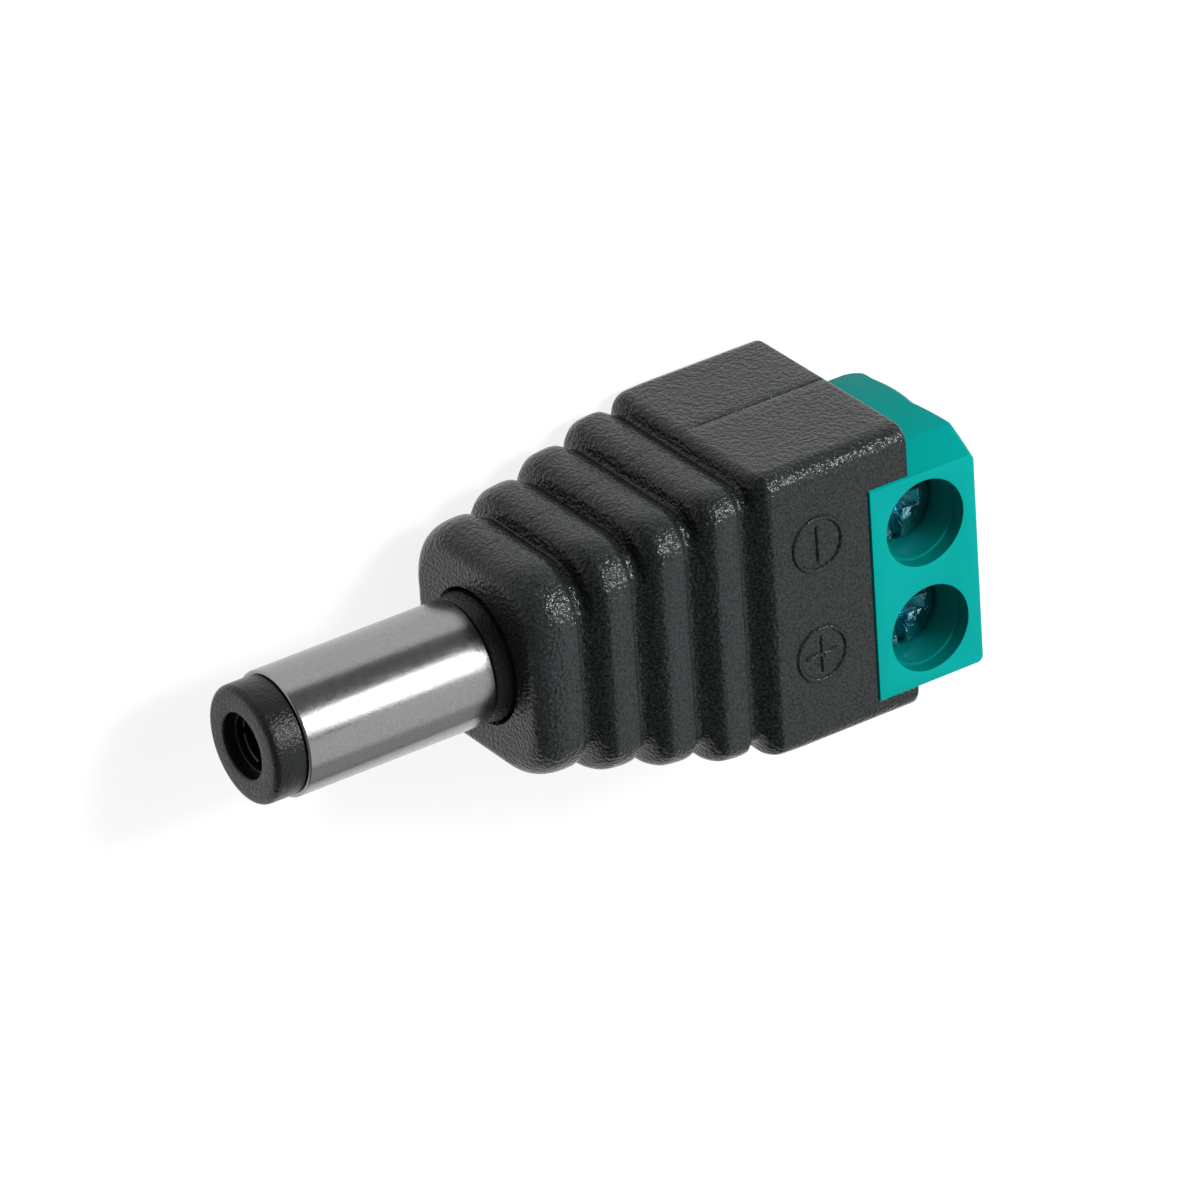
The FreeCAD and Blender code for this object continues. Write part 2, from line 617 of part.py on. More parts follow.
def make_core():
    """The moulded core that holds the barrel, with its collar and flange."""
    body = new_body("plug_core")
    profile = new_sketch(body, "core_profile", "XY_Plane")
    neck_outside = size("neck_radius") + GAP
    neck_inside = size("neck_radius") - size("neck_wall") - GAP
    neck_end = size("neck_reach") + GAP
    collar_front = -size("collar_reach") + GAP
    flange_end = FLANGE_FRONT + size("flange_length")
    front = -size("liner_end")
    hold = size("tail_radius") + GAP
    draw_polygon(profile, [
        (front, hold), (front, neck_inside), (neck_end, neck_inside), (neck_end, neck_outside),
        (collar_front, neck_outside), (collar_front, size("collar_radius") - size("collar_draft")),
        (FLANGE_FRONT, size("collar_radius")), (FLANGE_FRONT, size("flange_radius")),
        (flange_end, size("flange_radius")), (flange_end, size("core_radius")),
        (size("core_reach"), size("core_radius")), (size("core_reach"), hold)])
    add_turned(body, profile, "H_Axis")
    slot = new_sketch(body, "tag_slot", "XZ_Plane")
    tag_low, tag_high = sleeve_tag_span()
    draw_rectangle(slot, size("neck_reach"), size("core_reach") + GAP, tag_low - GAP, tag_high + GAP)
    add_pocket(body, slot, size("tag_width") + GAP * 2, both_ways=True)


def sleeve_tag_span():
    """Lower and upper face of the sleeve's tag, which lies level with the minus pole."""
    middle = POLES[0][1]
    return middle - size("tag_thickness") / 2, middle + size("tag_thickness") / 2


def centre_tag_span():
    """Lower and upper face of the centre tag's leg, level with the plus pole."""
    middle = POLES[1][1]
    return middle - size("tag_thickness") / 2, middle + size("tag_thickness") / 2


TAG_END = size("core_reach") + size("tag_reach")


def make_tags():
    """The two solder tags: one from the sleeve's neck, one riveted to the centre contact."""
    body = new_body("sleeve_tag")
    low, high = sleeve_tag_span()
    strip = new_sketch(body, "sleeve_tag_strip", "XZ_Plane")
    draw_rectangle(strip, size("neck_reach") + GAP, TAG_END, low, high)
    add_pad(body, strip, size("tag_width"), both_ways=True)

    body = new_body("centre_tag")
    low, high = centre_tag_span()
    front = size("core_reach") + GAP
    rear = front + size("tag_thickness")
    crown = size("tail_radius") + size("tag_thickness") * 2
    fold = new_sketch(body, "centre_tag_fold", "XZ_Plane")
    draw_polygon(fold, [
        (front, low), (TAG_END, low), (TAG_END, high), (rear, high), (rear, crown), (front, crown)])
    add_pad(body, fold, size("tag_width") + size("tail_radius"), both_ways=True)
    hole = new_sketch(body, "rivet_hole", "YZ_Plane", z=front)
    draw_circle(hole, ZERO, ZERO, size("tail_radius") + GAP)
    add_pocket(body, hole, size("tag_thickness") + GAP, backwards=True)


def make_clamp(pole, height):
    """The bent clamp frame of one pole, with the hole that its screw runs in."""
    body = new_body(pole + "_clamp_frame")
    half = size("clamp_width") / 2
    inner = half - size("clamp_sheet")
    frame = new_sketch(body, pole + "_frame_profile", "YZ_Plane", z=CLAMP_FRONT)
    draw_rectangle(frame, THREAD_TOP, CLAMP_FOOT, height - half, height + half)
    draw_rectangle(frame, THREAD_FOOT, CLAMP_FLOOR, height - inner, height + inner)
    add_pad(body, frame, size("clamp_length"))
    hole = new_sketch(body, pole + "_screw_hole", "XZ_Plane", z=-THREAD_TOP)
    draw_circle(hole, SCREW_PLACE, height, size("shank_radius") + RUN)
    add_pocket(body, hole, size("thread_plate"))


def make_plate(pole, height):
    """The pressure plate that the screw drives down onto the wire."""
    body = new_body(pole + "_pressure_plate")
    half = size("clamp_width") / 2 - size("clamp_sheet") - RUN
    front = SCREW_PLACE - size("plate_length") / 2
    rear = SCREW_PLACE + size("plate_length") / 2
    lip = size("plate_lip")
    sheet_thickness = size("plate_thickness")
    profile = new_sketch(body, pole + "_plate_profile", "XY_Plane", z=height)
    draw_polygon(profile, [
        (front, PLATE_FOOT), (rear - lip, PLATE_FOOT), (rear, PLATE_FOOT - lip),
        (rear - sheet_thickness, PLATE_FOOT - lip),
        (rear - lip - sheet_thickness / 2, PLATE_TOP), (front, PLATE_TOP)])
    add_pad(body, profile, half * 2, both_ways=True)


def make_screw(pole, height):
    """The terminal screw: a bevelled head with a slot and a cross, and its shank."""
    body = new_body(pole + "_screw")
    head_top = SCREW_FACE + size("head_sunk")
    head_foot = head_top + size("head_thickness")
    tip = PLATE_TOP - RUN
    bevel = size("head_bevel")
    point = size("head_bevel")
    profile = new_sketch(body, pole + "_screw_profile", "XY_Plane", x=SCREW_PLACE, z=height)
    draw_polygon(profile, [
        (ZERO, head_top), (size("head_radius") - bevel, head_top),
        (size("head_radius"), head_top + bevel), (size("head_radius"), head_foot),
        (size("shank_radius"), head_foot), (size("shank_radius"), tip - point),
        (size("shank_radius") - point, tip), (ZERO, tip)])
    add_turned(body, profile, "V_Axis")
    half = size("drive_width") / 2
    slot = new_sketch(body, pole + "_slot", "XZ_Plane", x=SCREW_PLACE, y=height, z=-head_top)
    reach = size("head_radius")
    cross = size("cross_length") / 2
    draw_polygon(slot, [
        (-half, -reach), (half, -reach), (half, -half), (cross, -half), (cross, half), (half, half),
        (half, reach), (-half, reach), (-half, half), (-cross, half), (-cross, -half), (-half, -half)])
    add_pocket(body, slot, size("drive_depth"))


def make_pin(pole, height):
    """The solder pin under the clamp frame, bent towards the barrel."""
    body = new_body(pole + "_solder_pin")
    thick = size("pin_thickness")
    rear = PIN_PLACE + thick / 2
    front = PIN_PLACE - thick / 2
    profile = new_sketch(body, pole + "_pin_profile", "XY_Plane", z=height)
    draw_polygon(profile, [
        (rear, CLAMP_FOOT), (rear, PIN_LEG + thick), (rear - size("pin_leg"), PIN_LEG + thick),
        (rear - size("pin_leg"), PIN_LEG), (front, PIN_LEG), (front, CLAMP_FOOT)])
    add_pad(body, profile, size("pin_width"), both_ways=True)


def lead_ends():
    """Where a lead starts at its tag and ends at its pin."""
    pin_end = PIN_PLACE + size("pin_thickness") / 2 - size("pin_leg")
    return (TAG_END, ZERO), (pin_end, PIN_LEG + size("pin_thickness") / 2)


def make_lead(pole, height):
    """The lead from a solder tag to the pin of its pole: a bare wire with two bends."""
    body = new_body(pole + "_lead")
    (front, tag_depth), (rear, pin_depth) = lead_ends()
    path = new_sketch(body, pole + "_lead_path", "XY_Plane", z=height)
    places = [(front, tag_depth), (front + size("lead_run"), tag_depth),
              (rear - size("lead_run"), pin_depth), (rear, pin_depth)]
    edges = [draw_line(path, start, end) for start, end in zip(places, places[1:])]
    for edge, after in zip(edges, edges[1:]):
        path.addConstraint(Sketcher.Constraint("Coincident", edge, 2, after, 1))
    for edge, (x, y) in zip(edges, places):
        place_point(path, edge, 1, x, y)
    place_point(path, edges[-1], 2, *places[-1])
    wire = new_sketch(body, pole + "_lead_section", "YZ_Plane", z=front)
    draw_circle(wire, ZERO, height, size("lead_radius"))
    pipe = body.newObject("PartDesign::AdditivePipe", pole + "_lead_pipe")
    pipe.Profile = wire
    pipe.Spine = path
    pipe.Transition = "Right corner"


def make_solder(pole, height):
    """The two solder cones of one lead, shaped round the lead and what it is joined to."""
    tag = "sleeve_tag" if pole == "minus" else "centre_tag"
    joined = doc.addObject("Part::MultiFuse", pole + "_joined")
    joined.Shapes = [doc.getObject(name) for name in (tag, pole + "_lead", pole + "_solder_pin")]
    hold = size("solder_hold")
    beads = []
    for (place, depth), towards in zip(lead_ends(), (1, -1)):
        cone = doc.addObject("Part::Cone", pole + "_cone")
        # the cone lies along the plug and tapers onto the lead
        cone.Placement.Rotation = FreeCAD.Rotation(FreeCAD.Vector(0, towards, 0), 90)
        bind(cone, "Radius1", size("solder_radius"))
        bind(cone, "Radius2", size("solder_rim"))
        bind(cone, "Height", hold + size("lead_run") / 2)
        bind(cone, "Placement.Base.x", place - hold * towards)
        bind(cone, "Placement.Base.y", height)
        bind(cone, "Placement.Base.z", -depth)
        bead = doc.addObject("Part::Cut", pole + "_bead")
        bead.Base = cone
        bead.Tool = joined
        beads.append(bead)
    solder = doc.addObject("Part::Compound", pole + "_solder")
    solder.Links = beads
    solder.Label = pole + "_solder"
    SUB_PARTS.append(solder)


def check_document():
    """Stops if an object failed, a cut missed its solid or a sub-part has no good shape."""
    for item in doc.Objects:
        if "Invalid" in item.State or "Error" in item.State:
            raise RuntimeError("%s did not compute" % item.Name)
        if item.TypeId in ("PartDesign::Pocket", "PartDesign::Groove"):
            if not item.Shape.Volume < item.BaseFeature.Shape.Volume:
                raise RuntimeError("%s cuts nothing" % item.Name)
    for body in SUB_PARTS:
        if body.Shape.isNull() or not body.Shape.isValid():
            raise RuntimeError("%s has no valid shape" % body.Label)


make_screw_side_shell()
make_plain_side_shell()
make_terminal_housing()
make_barrel()
make_core()
make_tags()
for pole_name, pole_height in POLES:
    make_clamp(pole_name, pole_height)
    make_plate(pole_name, pole_height)
    make_screw(pole_name, pole_height)
    make_pin(pole_name, pole_height)
    make_lead(pole_name, pole_height)
    make_solder(pole_name, pole_height)
doc.recompute()
check_document()

os.makedirs("parts", exist_ok=True)
for body in SUB_PARTS:
    body.Shape.exportStep("parts/%s.step" % body.Label)
    print("%-24s %9.3f mm3, %d solid" % (body.Label, body.Shape.Volume, len(body.Shape.Solids)))
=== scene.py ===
from math import cos, pi, radians, sin, sqrt, tan
import bmesh
import bpy
from mathutils import Matrix, Vector


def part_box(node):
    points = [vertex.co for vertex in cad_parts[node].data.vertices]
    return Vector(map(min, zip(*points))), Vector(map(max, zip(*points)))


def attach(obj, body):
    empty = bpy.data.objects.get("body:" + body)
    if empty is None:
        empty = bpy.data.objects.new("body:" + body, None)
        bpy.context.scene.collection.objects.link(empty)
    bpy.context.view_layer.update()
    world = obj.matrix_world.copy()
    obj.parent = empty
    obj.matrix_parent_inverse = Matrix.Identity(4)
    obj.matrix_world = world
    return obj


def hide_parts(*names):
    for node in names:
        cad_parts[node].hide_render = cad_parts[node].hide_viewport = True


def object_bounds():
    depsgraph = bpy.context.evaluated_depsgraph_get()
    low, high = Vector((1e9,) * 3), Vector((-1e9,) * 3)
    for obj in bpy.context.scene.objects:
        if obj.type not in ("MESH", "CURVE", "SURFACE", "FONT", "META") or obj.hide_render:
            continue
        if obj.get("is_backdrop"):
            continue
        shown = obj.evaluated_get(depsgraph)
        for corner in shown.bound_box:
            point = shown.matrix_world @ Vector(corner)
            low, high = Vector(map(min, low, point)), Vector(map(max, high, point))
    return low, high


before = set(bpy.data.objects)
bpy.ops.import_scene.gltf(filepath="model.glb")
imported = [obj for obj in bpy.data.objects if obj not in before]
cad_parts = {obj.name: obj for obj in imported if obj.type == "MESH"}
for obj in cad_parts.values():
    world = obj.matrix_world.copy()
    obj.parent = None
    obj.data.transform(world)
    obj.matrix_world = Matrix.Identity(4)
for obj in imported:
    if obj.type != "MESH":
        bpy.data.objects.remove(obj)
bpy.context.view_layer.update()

# All lengths here are in millimetres, like the part's own sizes; meshes are scaled once, when made.
MM = 0.001


def span(node, axis):
    """Lowest and highest place of a frame node along an axis, in millimetres."""
    low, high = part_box(node)
    return low[axis] / MM, high[axis] / MM


# Places read from the frame.
SHELL_LENGTH = span("screw_side_shell", 0)[1]
HALF_HEIGHT = span("screw_side_shell", 1)[1]
SCREW_DEPTH = span("screw_side_shell", 2)[1]
PLAIN_DEPTH = -span("plain_side_shell", 2)[0]
SLEEVE_FRONT = span("barrel_sleeve", 0)[0]
SLEEVE_RADIUS = span("barrel_sleeve", 1)[1]
TIP_FRONT = span("tip_insulator", 0)[0]
TIP_RADIUS = span("tip_insulator", 1)[1]
BLOCK_LOW, BLOCK_HIGH = span("terminal_housing", 1)
BLOCK_BASE, SCREW_FACE = span("terminal_housing", 2)
BLOCK_FRONT = span("terminal_housing", 0)[0]
BLOCK_AXIS = (BLOCK_LOW + BLOCK_HIGH) / 2
POLES = {}
for pole in ("minus", "plus"):
    low, high = span(pole + "_screw", 1)
    POLES[pole] = (low + high) / 2
SCREW_PLACE = sum(span("minus_screw", 0)) / 2
SCREW_TOP = span("minus_screw", 2)[1]
SCREW_TIP = span("minus_screw", 2)[0]

# The shell's outer form: ribs whose height, depth and corners change from rib to rib.
RIB_COUNT = 4
FIRST_CREST = 1.6
RIB_PITCH = 2.54
RIBS_END = 11.3
FRONT_HALF_HEIGHT = 4.88
FRONT_DEPTH = 4.7
FRONT_CORNER = 2.6
REAR_CORNER = 0.8
HEIGHT_STEP = 0.49
SCREW_DEPTH_STEP = 0.26
PLAIN_DEPTH_STEP = 0.15
REAR_ROUND = 0.25

# A rib on the narrow sides: a round rise to the crest, then a fall into the groove.
RISE_RUN = 1.3
RISE = 0.5
RISE_POWER = 2.5
FALL_RUN = 1.05
GROOVE = 0.38
MOUTH_RUN = 1.6
MOUTH_DROP = 0.85
MOUTH_POWER = 2.3
SHOULDER_PLACE = 10.5
SHOULDER_RUN = 0.55
SHOULDER_DROP = 0.3
SMOOTHING = 0.15

# A rib on the wide faces: a flat crest, a crisp drop and a soft climb.
CREST_FLAT = 0.4
DROP_RUN = 0.35
CLIMB_RUN = 1.2

# The seam between the halves: shares of its depth and width across one flank.
SEAM_WIDTH = 0.05
SEAM_DEPTH = 0.06
RIB_SEAM_DEPTH = 0.02
SEAM_FLANK = ((1.0, 0.0), (0.3, 0.6), (0.0, 1.4))

# How finely the shell is sampled.
STATION_STEP = 0.06
MOUTH_STATIONS = 10
MOUTH_STATIONS_SHARE = 0.3
PLAIN_STATIONS = 8
REAR_STATIONS = 5
SIDE_STEPS = 10
CORNER_STEPS = 14
FACE_STEPS = 16
SMOOTHING_STEPS = 12
LIP_STEPS = 4
ROUND_STEPS = 8

# Clearances, and how far a cutter reaches past what it cuts.
FIT_GAP = 0.03
OVER = 1.0
SHORT_OVER = 0.5

# Holes and seats in the shell.
MOUTH_RADIUS = 2.9
MOUTH_LIP = 0.12
MOUTH_FLARE = 1.2
FLARE_LEAD = 0.02
FLANGE_FRONT = 1.0
FLANGE_REAR = 2.61
FLANGE_SEAT = 3.58
CORE_SEAT = 2.98
CORE_REAR = 6.53
TAG_ROOM_HALF = 3.7
TAG_ROOM_DEPTH = 3.0
TAG_ROOM_OVERLAP = 0.2
LEAD_ROOM_FRONT = 11.0
LEAD_ROOM_REAR = 17.3
LEAD_ROOM_HALF = 4.0
LEAD_ROOM_DEPTH = 4.2
WINDOW_LIP = 0.12

# Pole marks raised on the screw side.
MARK_PLACES = {"minus": (13.33, 2.86), "plus": (13.26, -2.29)}
MARK_RADIUS = 1.2
MARK_LINE = 0.25
MARK_RISE = 0.1
MARK_ROOT = 0.05
MARK_ROUND = 0.02
MARK_SHOULDER = 0.6
MARK_CREST = 0.35
BAR_LENGTH = 1.75
BAR_STEPS = 24

# The barrel: sleeve with its neck, tip, core and inner contact.
SLEEVE_WALL = 0.4
SLEEVE_REAR = -0.78
SLEEVE_LIP_ROUND = 0.05
SLEEVE_FRONT_ROUND = 0.1
SLEEVE_REAR_ROUND = 0.12
LINING_REAR = -1.5
NECK_RADIUS = 2.2
NECK_BORE = 1.9
NECK_REAR = 3.0
TIP_BORE = 1.44
TIP_BORE_DEPTH = 0.5
TIP_THROAT = 1.22
TIP_THROAT_DEPTH = 0.75
TIP_ROUND = 0.3
TIP_REAR_ROUND = 0.04
TIP_BORE_ROUND = 0.1
TIP_THROAT_ROUND = 0.05
CONTACT_RADIUS = 1.42
CONTACT_BORE = 1.05
CONTACT_BORE_REAR = -1.7
CONTACT_STEM = 0.8
CONTACT_REAR = 7.2
CONTACT_SLIT_HALF = 0.15
CONTACT_SLIT_LENGTH = 4.5
CONTACT_MOUTH_ROUND = 0.08
CONTACT_STEM_ROUND = 0.1
COLLAR_RADIUS = 2.84
COLLAR_FRONT_RADIUS = 2.69
COLLAR_CONE_REAR = -0.1
COLLAR_FRONT_ROUND = 0.06
COLLAR_ROUND = 0.3
FLANGE_ROUND = 0.05
CORE_REAR_ROUND = 0.1

# The terminal block.
WIRE_SIDE = 21.3
CROWN_BULGE = 0.14
CROWN_SPLIT = 4.15
CROWN_STEPS = 14
BASE_ROUND = 1.0
TOWER_FRONT = 16.0
FACE_EDGES = {-1: -5.02, 1: 4.85}
CHEEK_LENGTH = 1.69
TOWER_ROUND = 0.3
CORNER_OVER = 0.004
CORNER_LEVELS = 40
CORNER_BELOW = 0.3
CORNER_ABOVE = 0.2
WELL_RADIUS = 1.96
WELL_STEP_RADIUS = 1.85
WELL_STEP_DEPTH = 0.65
WELL_OVERLAP = 0.05
WELL_PAINT_OVER = 0.02
ENTRY_HALF_WIDTH = 1.5
ENTRY_HALF_HEIGHT = 1.2
ENTRY_RISE = 1.25
EDGE_EASE = 0.07

# The clamp frames and the screws.
CLAMP_HALF_WIDTH = 2.0
CLAMP_WALL = 0.5
CLAMP_THREAD_WALL = 0.7
CLAMP_ROUND = 0.3
CLAMP_HOLE_TOP = 5.0
HEAD_RADIUS = 1.75
HEAD_THICKNESS = 1.2
HEAD_ROUND = 0.16
HEAD_FOOT_ROUND = 0.05
SHANK_RADIUS = 1.45
THREAD_PITCH = 0.5
THREAD_DEPTH = 0.22
THREAD_GAP = 0.04
THREAD_ROOT = (0.45, 0.55)
THREAD_START = 0.1
THREAD_END = 0.25
FOOT_CHAMFER = 0.2
SLOT_HALF_WIDTH = 0.25
SLOT_DEPTH = 0.55
CROSS_REACH = 1.2
CROSS_HALF_WIDTH = 0.34
CROSS_DEPTH = 0.7
CROSS_TAPER = 0.6
METAL_EASE = 0.05

# Metals: colours, limits of roughness, features per millimetre and height of the relief.
METALS = {
    "satin_nickel": {"dark": (0.24, 0.24, 0.24), "light": (0.36, 0.36, 0.36),
                     "roughness": (0.19, 0.25), "scale": 10.0, "relief": 0.004},
    # painted shade: the inner contact's metal is painted near black, for the shade in the tip's bore
    "shade_darkened_contact_metal": {"dark": (0.04, 0.04, 0.04), "light": (0.07, 0.07, 0.07),
                           "roughness": (0.4, 0.5), "scale": 6.0, "relief": 0.0015},
    "tinned_metal": {"dark": (0.55, 0.53, 0.48), "light": (0.7, 0.68, 0.62),
                     "roughness": (0.3, 0.4), "scale": 6.0, "relief": 0.0015},
    # blue zinc plating, its colour deepened to teal as a painted reflection of the teal well walls
    "blue_zinc_with_painted_reflection": {"dark": (0.08, 0.38, 0.48), "light": (0.42, 0.76, 0.86),
                  "roughness": (0.08, 0.16), "scale": 2.4, "relief": 0.085},
    "tinned_copper": {"dark": (0.6, 0.36, 0.24), "light": (0.72, 0.45, 0.3),
                      "roughness": (0.3, 0.4), "scale": 6.0, "relief": 0.0015},
    "solder": {"dark": (0.55, 0.56, 0.57), "light": (0.7, 0.71, 0.72),
               "roughness": (0.2, 0.3), "scale": 6.0, "relief": 0.0015},
}

# Camera of the photograph: turn and tilt about the upright plug, roll, offset, distance, and scale in
# pixels per millimetre.
CAMERA_TURN = radians(-32.46)
CAMERA_TILT = radians(29.02)
CAMERA_ROLL = radians(-4.02)
CAMERA_OFFSET = (5.10, 2.29)
CAMERA_DISTANCE = 400.0
CAMERA_SCALE = 24.331
IMAGE_PIXELS = 1200
SENSOR = 36.0

# Studio light. A level of 1 looks white. The key and the hot spot stand where the photograph's band on
# the barrel and highlights on the ribs' corners ask for them.
WORLD_LEVEL = 0.2
LAMPS = {
    "key": {"direction": (0.47, 0.4, 0.787), "size": (180, 160), "level": 3.1},
    "hot_spot": {"direction": (0.42, 0.43, 0.8), "size": (42, 38), "level": 72.0},
    "fill": {"direction": (0.42, -0.37, 0.83), "size": (190, 230), "level": 0.8},
    "low_fill": {"direction": (0.45, -0.82, 0.35), "size": (190, 130), "level": 0.34},
}
LAMP_DISTANCE = 260
LAMP_AIM = (5, 0, 0)
FLOOR_LIFT = 0.86
FLOOR_REACH = 3000


def lay_down(v):
    """A direction or place of the upright plug, as the photograph shows it, in the frame's axes."""
    return Vector((v[0], v[2], -v[1]))


# Mesh helpers.

def mesh_object(name, points, faces):
    """An object from points in millimetres and faces, with merged points and outward normals."""
    mesh = bpy.data.meshes.new(name)
    mesh.from_pydata([Vector(p) * MM for p in points], [], faces)
    obj = bpy.data.objects.new(name, mesh)
    bpy.context.collection.objects.link(obj)
    tidy(obj)
    return obj


def tidy(obj):
    """Merges doubled points and turns all faces outwards."""
    bm = bmesh.new()
    bm.from_mesh(obj.data)
    bmesh.ops.remove_doubles(bm, verts=bm.verts, dist=1e-7)
    bmesh.ops.dissolve_degenerate(bm, dist=1e-7, edges=bm.edges)
    bmesh.ops.recalc_face_normals(bm, faces=bm.faces)
    bm.to_mesh(obj.data)
    bm.free()


def join(pieces, name):
    """Makes one object of several."""
    bm = bmesh.new()
    for piece in pieces:
        bm.from_mesh(piece.data)
        bpy.data.objects.remove(piece, do_unlink=True)
    mesh = bpy.data.meshes.new(name)
    bm.to_mesh(mesh)
    bm.free()
    obj = bpy.data.objects.new(name, mesh)
    bpy.context.collection.objects.link(obj)
    return obj


def shade(obj, angle=32):
    """Smooth shading that keeps edges sharper than the angle."""
    bm = bmesh.new()
    bm.from_mesh(obj.data)
    limit = radians(angle)
    for face in bm.faces:
        face.smooth = True
    for edge in bm.edges:
        edge.smooth = len(edge.link_faces) == 2 and edge.calc_face_angle(0) < limit
    bm.to_mesh(obj.data)
    bm.free()


def apply_modifiers(obj):
    graph = bpy.context.evaluated_depsgraph_get()
    mesh = bpy.data.meshes.new_from_object(obj.evaluated_get(graph))
    obj.modifiers.clear()
    obj.data = mesh


def carve(obj, cutters):
    """Cuts closed shapes out of an object and removes the cutters."""
    for cutter in cutters:
        cut = obj.modifiers.new("cut", "BOOLEAN")
        cut.operation = "DIFFERENCE"
        cut.solver = "EXACT"
        cut.object = cutter
    apply_modifiers(obj)
    for cutter in cutters:
        bpy.data.objects.remove(cutter, do_unlink=True)
    tidy(obj)


def ease_edges(obj, width, angle=35, segments=2):
    """Rounds every edge sharper than the angle."""
    bevel = obj.modifiers.new("ease", "BEVEL")
    bevel.width = width * MM
    bevel.segments = segments
    bevel.limit_method = "ANGLE"
    bevel.angle_limit = radians(angle)
    bevel.use_clamp_overlap = True
    apply_modifiers(obj)
    tidy(obj)


def rounded(corners, steps=5):
    """A closed outline through corners given as (x, y, radius), with the corners rounded."""
    outline = []
    for index, (x, y, radius) in enumerate(corners):
        here = Vector((x, y))
        if not radius:
            outline.append(here)
            continue
        before = Vector(corners[index - 1][:2]) - here
        after = Vector(corners[(index + 1) % len(corners)][:2]) - here
        turn = before.angle(after) / 2
        reach = radius / tan(turn)
        centre = here + (before.normalized() + after.normalized()).normalized() * (radius / sin(turn))
        first = here + before.normalized() * reach - centre
        last = here + after.normalized() * reach - centre
        sweep = first.angle_signed(last)
        for step in range(steps + 1):
            angle = -sweep * step / steps
            outline.append(centre + Matrix.Rotation(angle, 2) @ first)
    return outline


def turned(name, outline, start, axis="x", segments=96):
    """A solid of revolution: the outline's points are (along the axis, radius)."""
    points = []
    for x, r in outline:
        r = max(r, 0.0)
        for k in range(segments):
            a = 2 * pi * k / segments
            if axis == "x":
                points.append((start[0] + x, start[1] + r * cos(a), start[2] + r * sin(a)))
            else:
                points.append((start[0] + r * cos(a), start[1] + r * sin(a), start[2] + x))
    faces = []
    count = len(outline)
    for i in range(count):
        j = (i + 1) % count
        for k in range(segments):
            m = (k + 1) % segments
            faces.append((i * segments + k, j * segments + k, j * segments + m, i * segments + m))
    return mesh_object(name, points, faces)


def prism(name, outline, low, high, place):
    """A straight prism: place(u, v, w) gives the point for outline (u, v) at height w."""
    count = len(outline)
    points = [place(u, v, low) for u, v in outline] + [place(u, v, high) for u, v in outline]
    faces = [tuple(range(count)), tuple(range(2 * count - 1, count - 1, -1))]
    for i in range(count):
        j = (i + 1) % count
        faces.append((i, i + count, j + count, j))
    return mesh_object(name, points, faces)


def stack(name, outlines):
    """A solid through outlines of equally many points, capped at both ends."""
    count = len(outlines[0])
    points = [p for outline in outlines for p in outline]
    faces = [tuple(range(count)), tuple(range(len(points) - 1, len(points) - count - 1, -1))]
    for level in range(len(outlines) - 1):
        for i in range(count):
            j = (i + 1) % count
            a = level * count
            faces.append((a + i, a + i + count, a + j + count, a + j))
    return mesh_object(name, points, faces)


def upright(u, v, w):
    """Outline in X and Y, height along Z."""
    return (u, v, w)


def crosswise(u, v, w):
    """Outline in X and Z, height along Y."""
    return (u, w, v)


def lengthwise(u, v, w):
    """Outline in Y and Z, height along X."""
    return (w, u, v)


# The shell halves.

def rib_dip(x, crest):
    """How far the surface lies below a rib's crest line."""
    if x <= crest:
        back = min((crest - x) / RISE_RUN, 1)
        return RISE * (1 - (1 - back ** RISE_POWER) ** (1 / RISE_POWER))
    return GROOVE * min((x - crest) / FALL_RUN, 1) ** 2


def mouth_dip(x):
    """How far the first rib's front is rounded back at x."""
    back = min(max(0, FIRST_CREST - x) / MOUTH_RUN, 1)
    return MOUTH_DROP * (1 - (1 - back ** MOUTH_POWER) ** (1 / MOUTH_POWER))


def raw_height(x):
    """Half height of the shell at x, before smoothing."""
    if x >= SHOULDER_PLACE:
        back = max(0, 1 - (x - SHOULDER_PLACE) / SHOULDER_RUN)
        return HALF_HEIGHT - SHOULDER_DROP * (1 - sqrt(1 - back * back))
    rib = min(RIB_COUNT - 1, max(0, int((x - FIRST_CREST + RISE_RUN) / RIB_PITCH)))
    crest = FIRST_CREST + RIB_PITCH * rib
    dip = mouth_dip(x) if rib == 0 and x < crest else rib_dip(x, crest)
    return FRONT_HALF_HEIGHT + HEIGHT_STEP * rib - dip


def half_height(x):
    """Half height averaged over a short stretch, which rounds the foot of each groove."""
    reach = min(x, SMOOTHING)
    count = SMOOTHING_STEPS
    total = 0.0
    for k in range(1 - count, count):
        total += (count - abs(k)) * raw_height(x + k * reach / count)
    return total / count ** 2


def ease(t):
    """A smooth step from 0 to 1."""
    t = min(max(t, 0), 1)
    return t * t * (3 - 2 * t)


def wide_depth(x, step, last):
    """Depth of a wide face at x: a flat crest, a crisp drop and a soft climb to the next crest."""
    rib = min(RIB_COUNT - 1, max(0, int((x - FIRST_CREST) / RIB_PITCH)))
    level = FRONT_DEPTH + step * rib
    following = level + step if rib < RIB_COUNT - 1 else last
    beyond = x - FIRST_CREST - RIB_PITCH * rib
    if beyond < 0:
        return level - mouth_dip(x)
    fall = ease((beyond - CREST_FLAT) / DROP_RUN)
    climb = ease((beyond - CREST_FLAT - DROP_RUN) / CLIMB_RUN)
    return level - GROOVE * fall + (following - level + GROOVE) * climb


def corner_radius(x):
    """Radius of the section's corners, smaller from rib to rib."""
    ribs = min(max(0, (x - FIRST_CREST) / RIB_PITCH), RIB_COUNT)
    return FRONT_CORNER + (REAR_CORNER - FRONT_CORNER) * ribs / RIB_COUNT


def section(x):
    """Half height, screw-side depth, plain-side depth and corner radius at x."""
    screw_side = wide_depth(x, SCREW_DEPTH_STEP, SCREW_DEPTH)
    plain_side = wide_depth(x, PLAIN_DEPTH_STEP, PLAIN_DEPTH)
    return half_height(x), screw_side, plain_side, corner_radius(x)


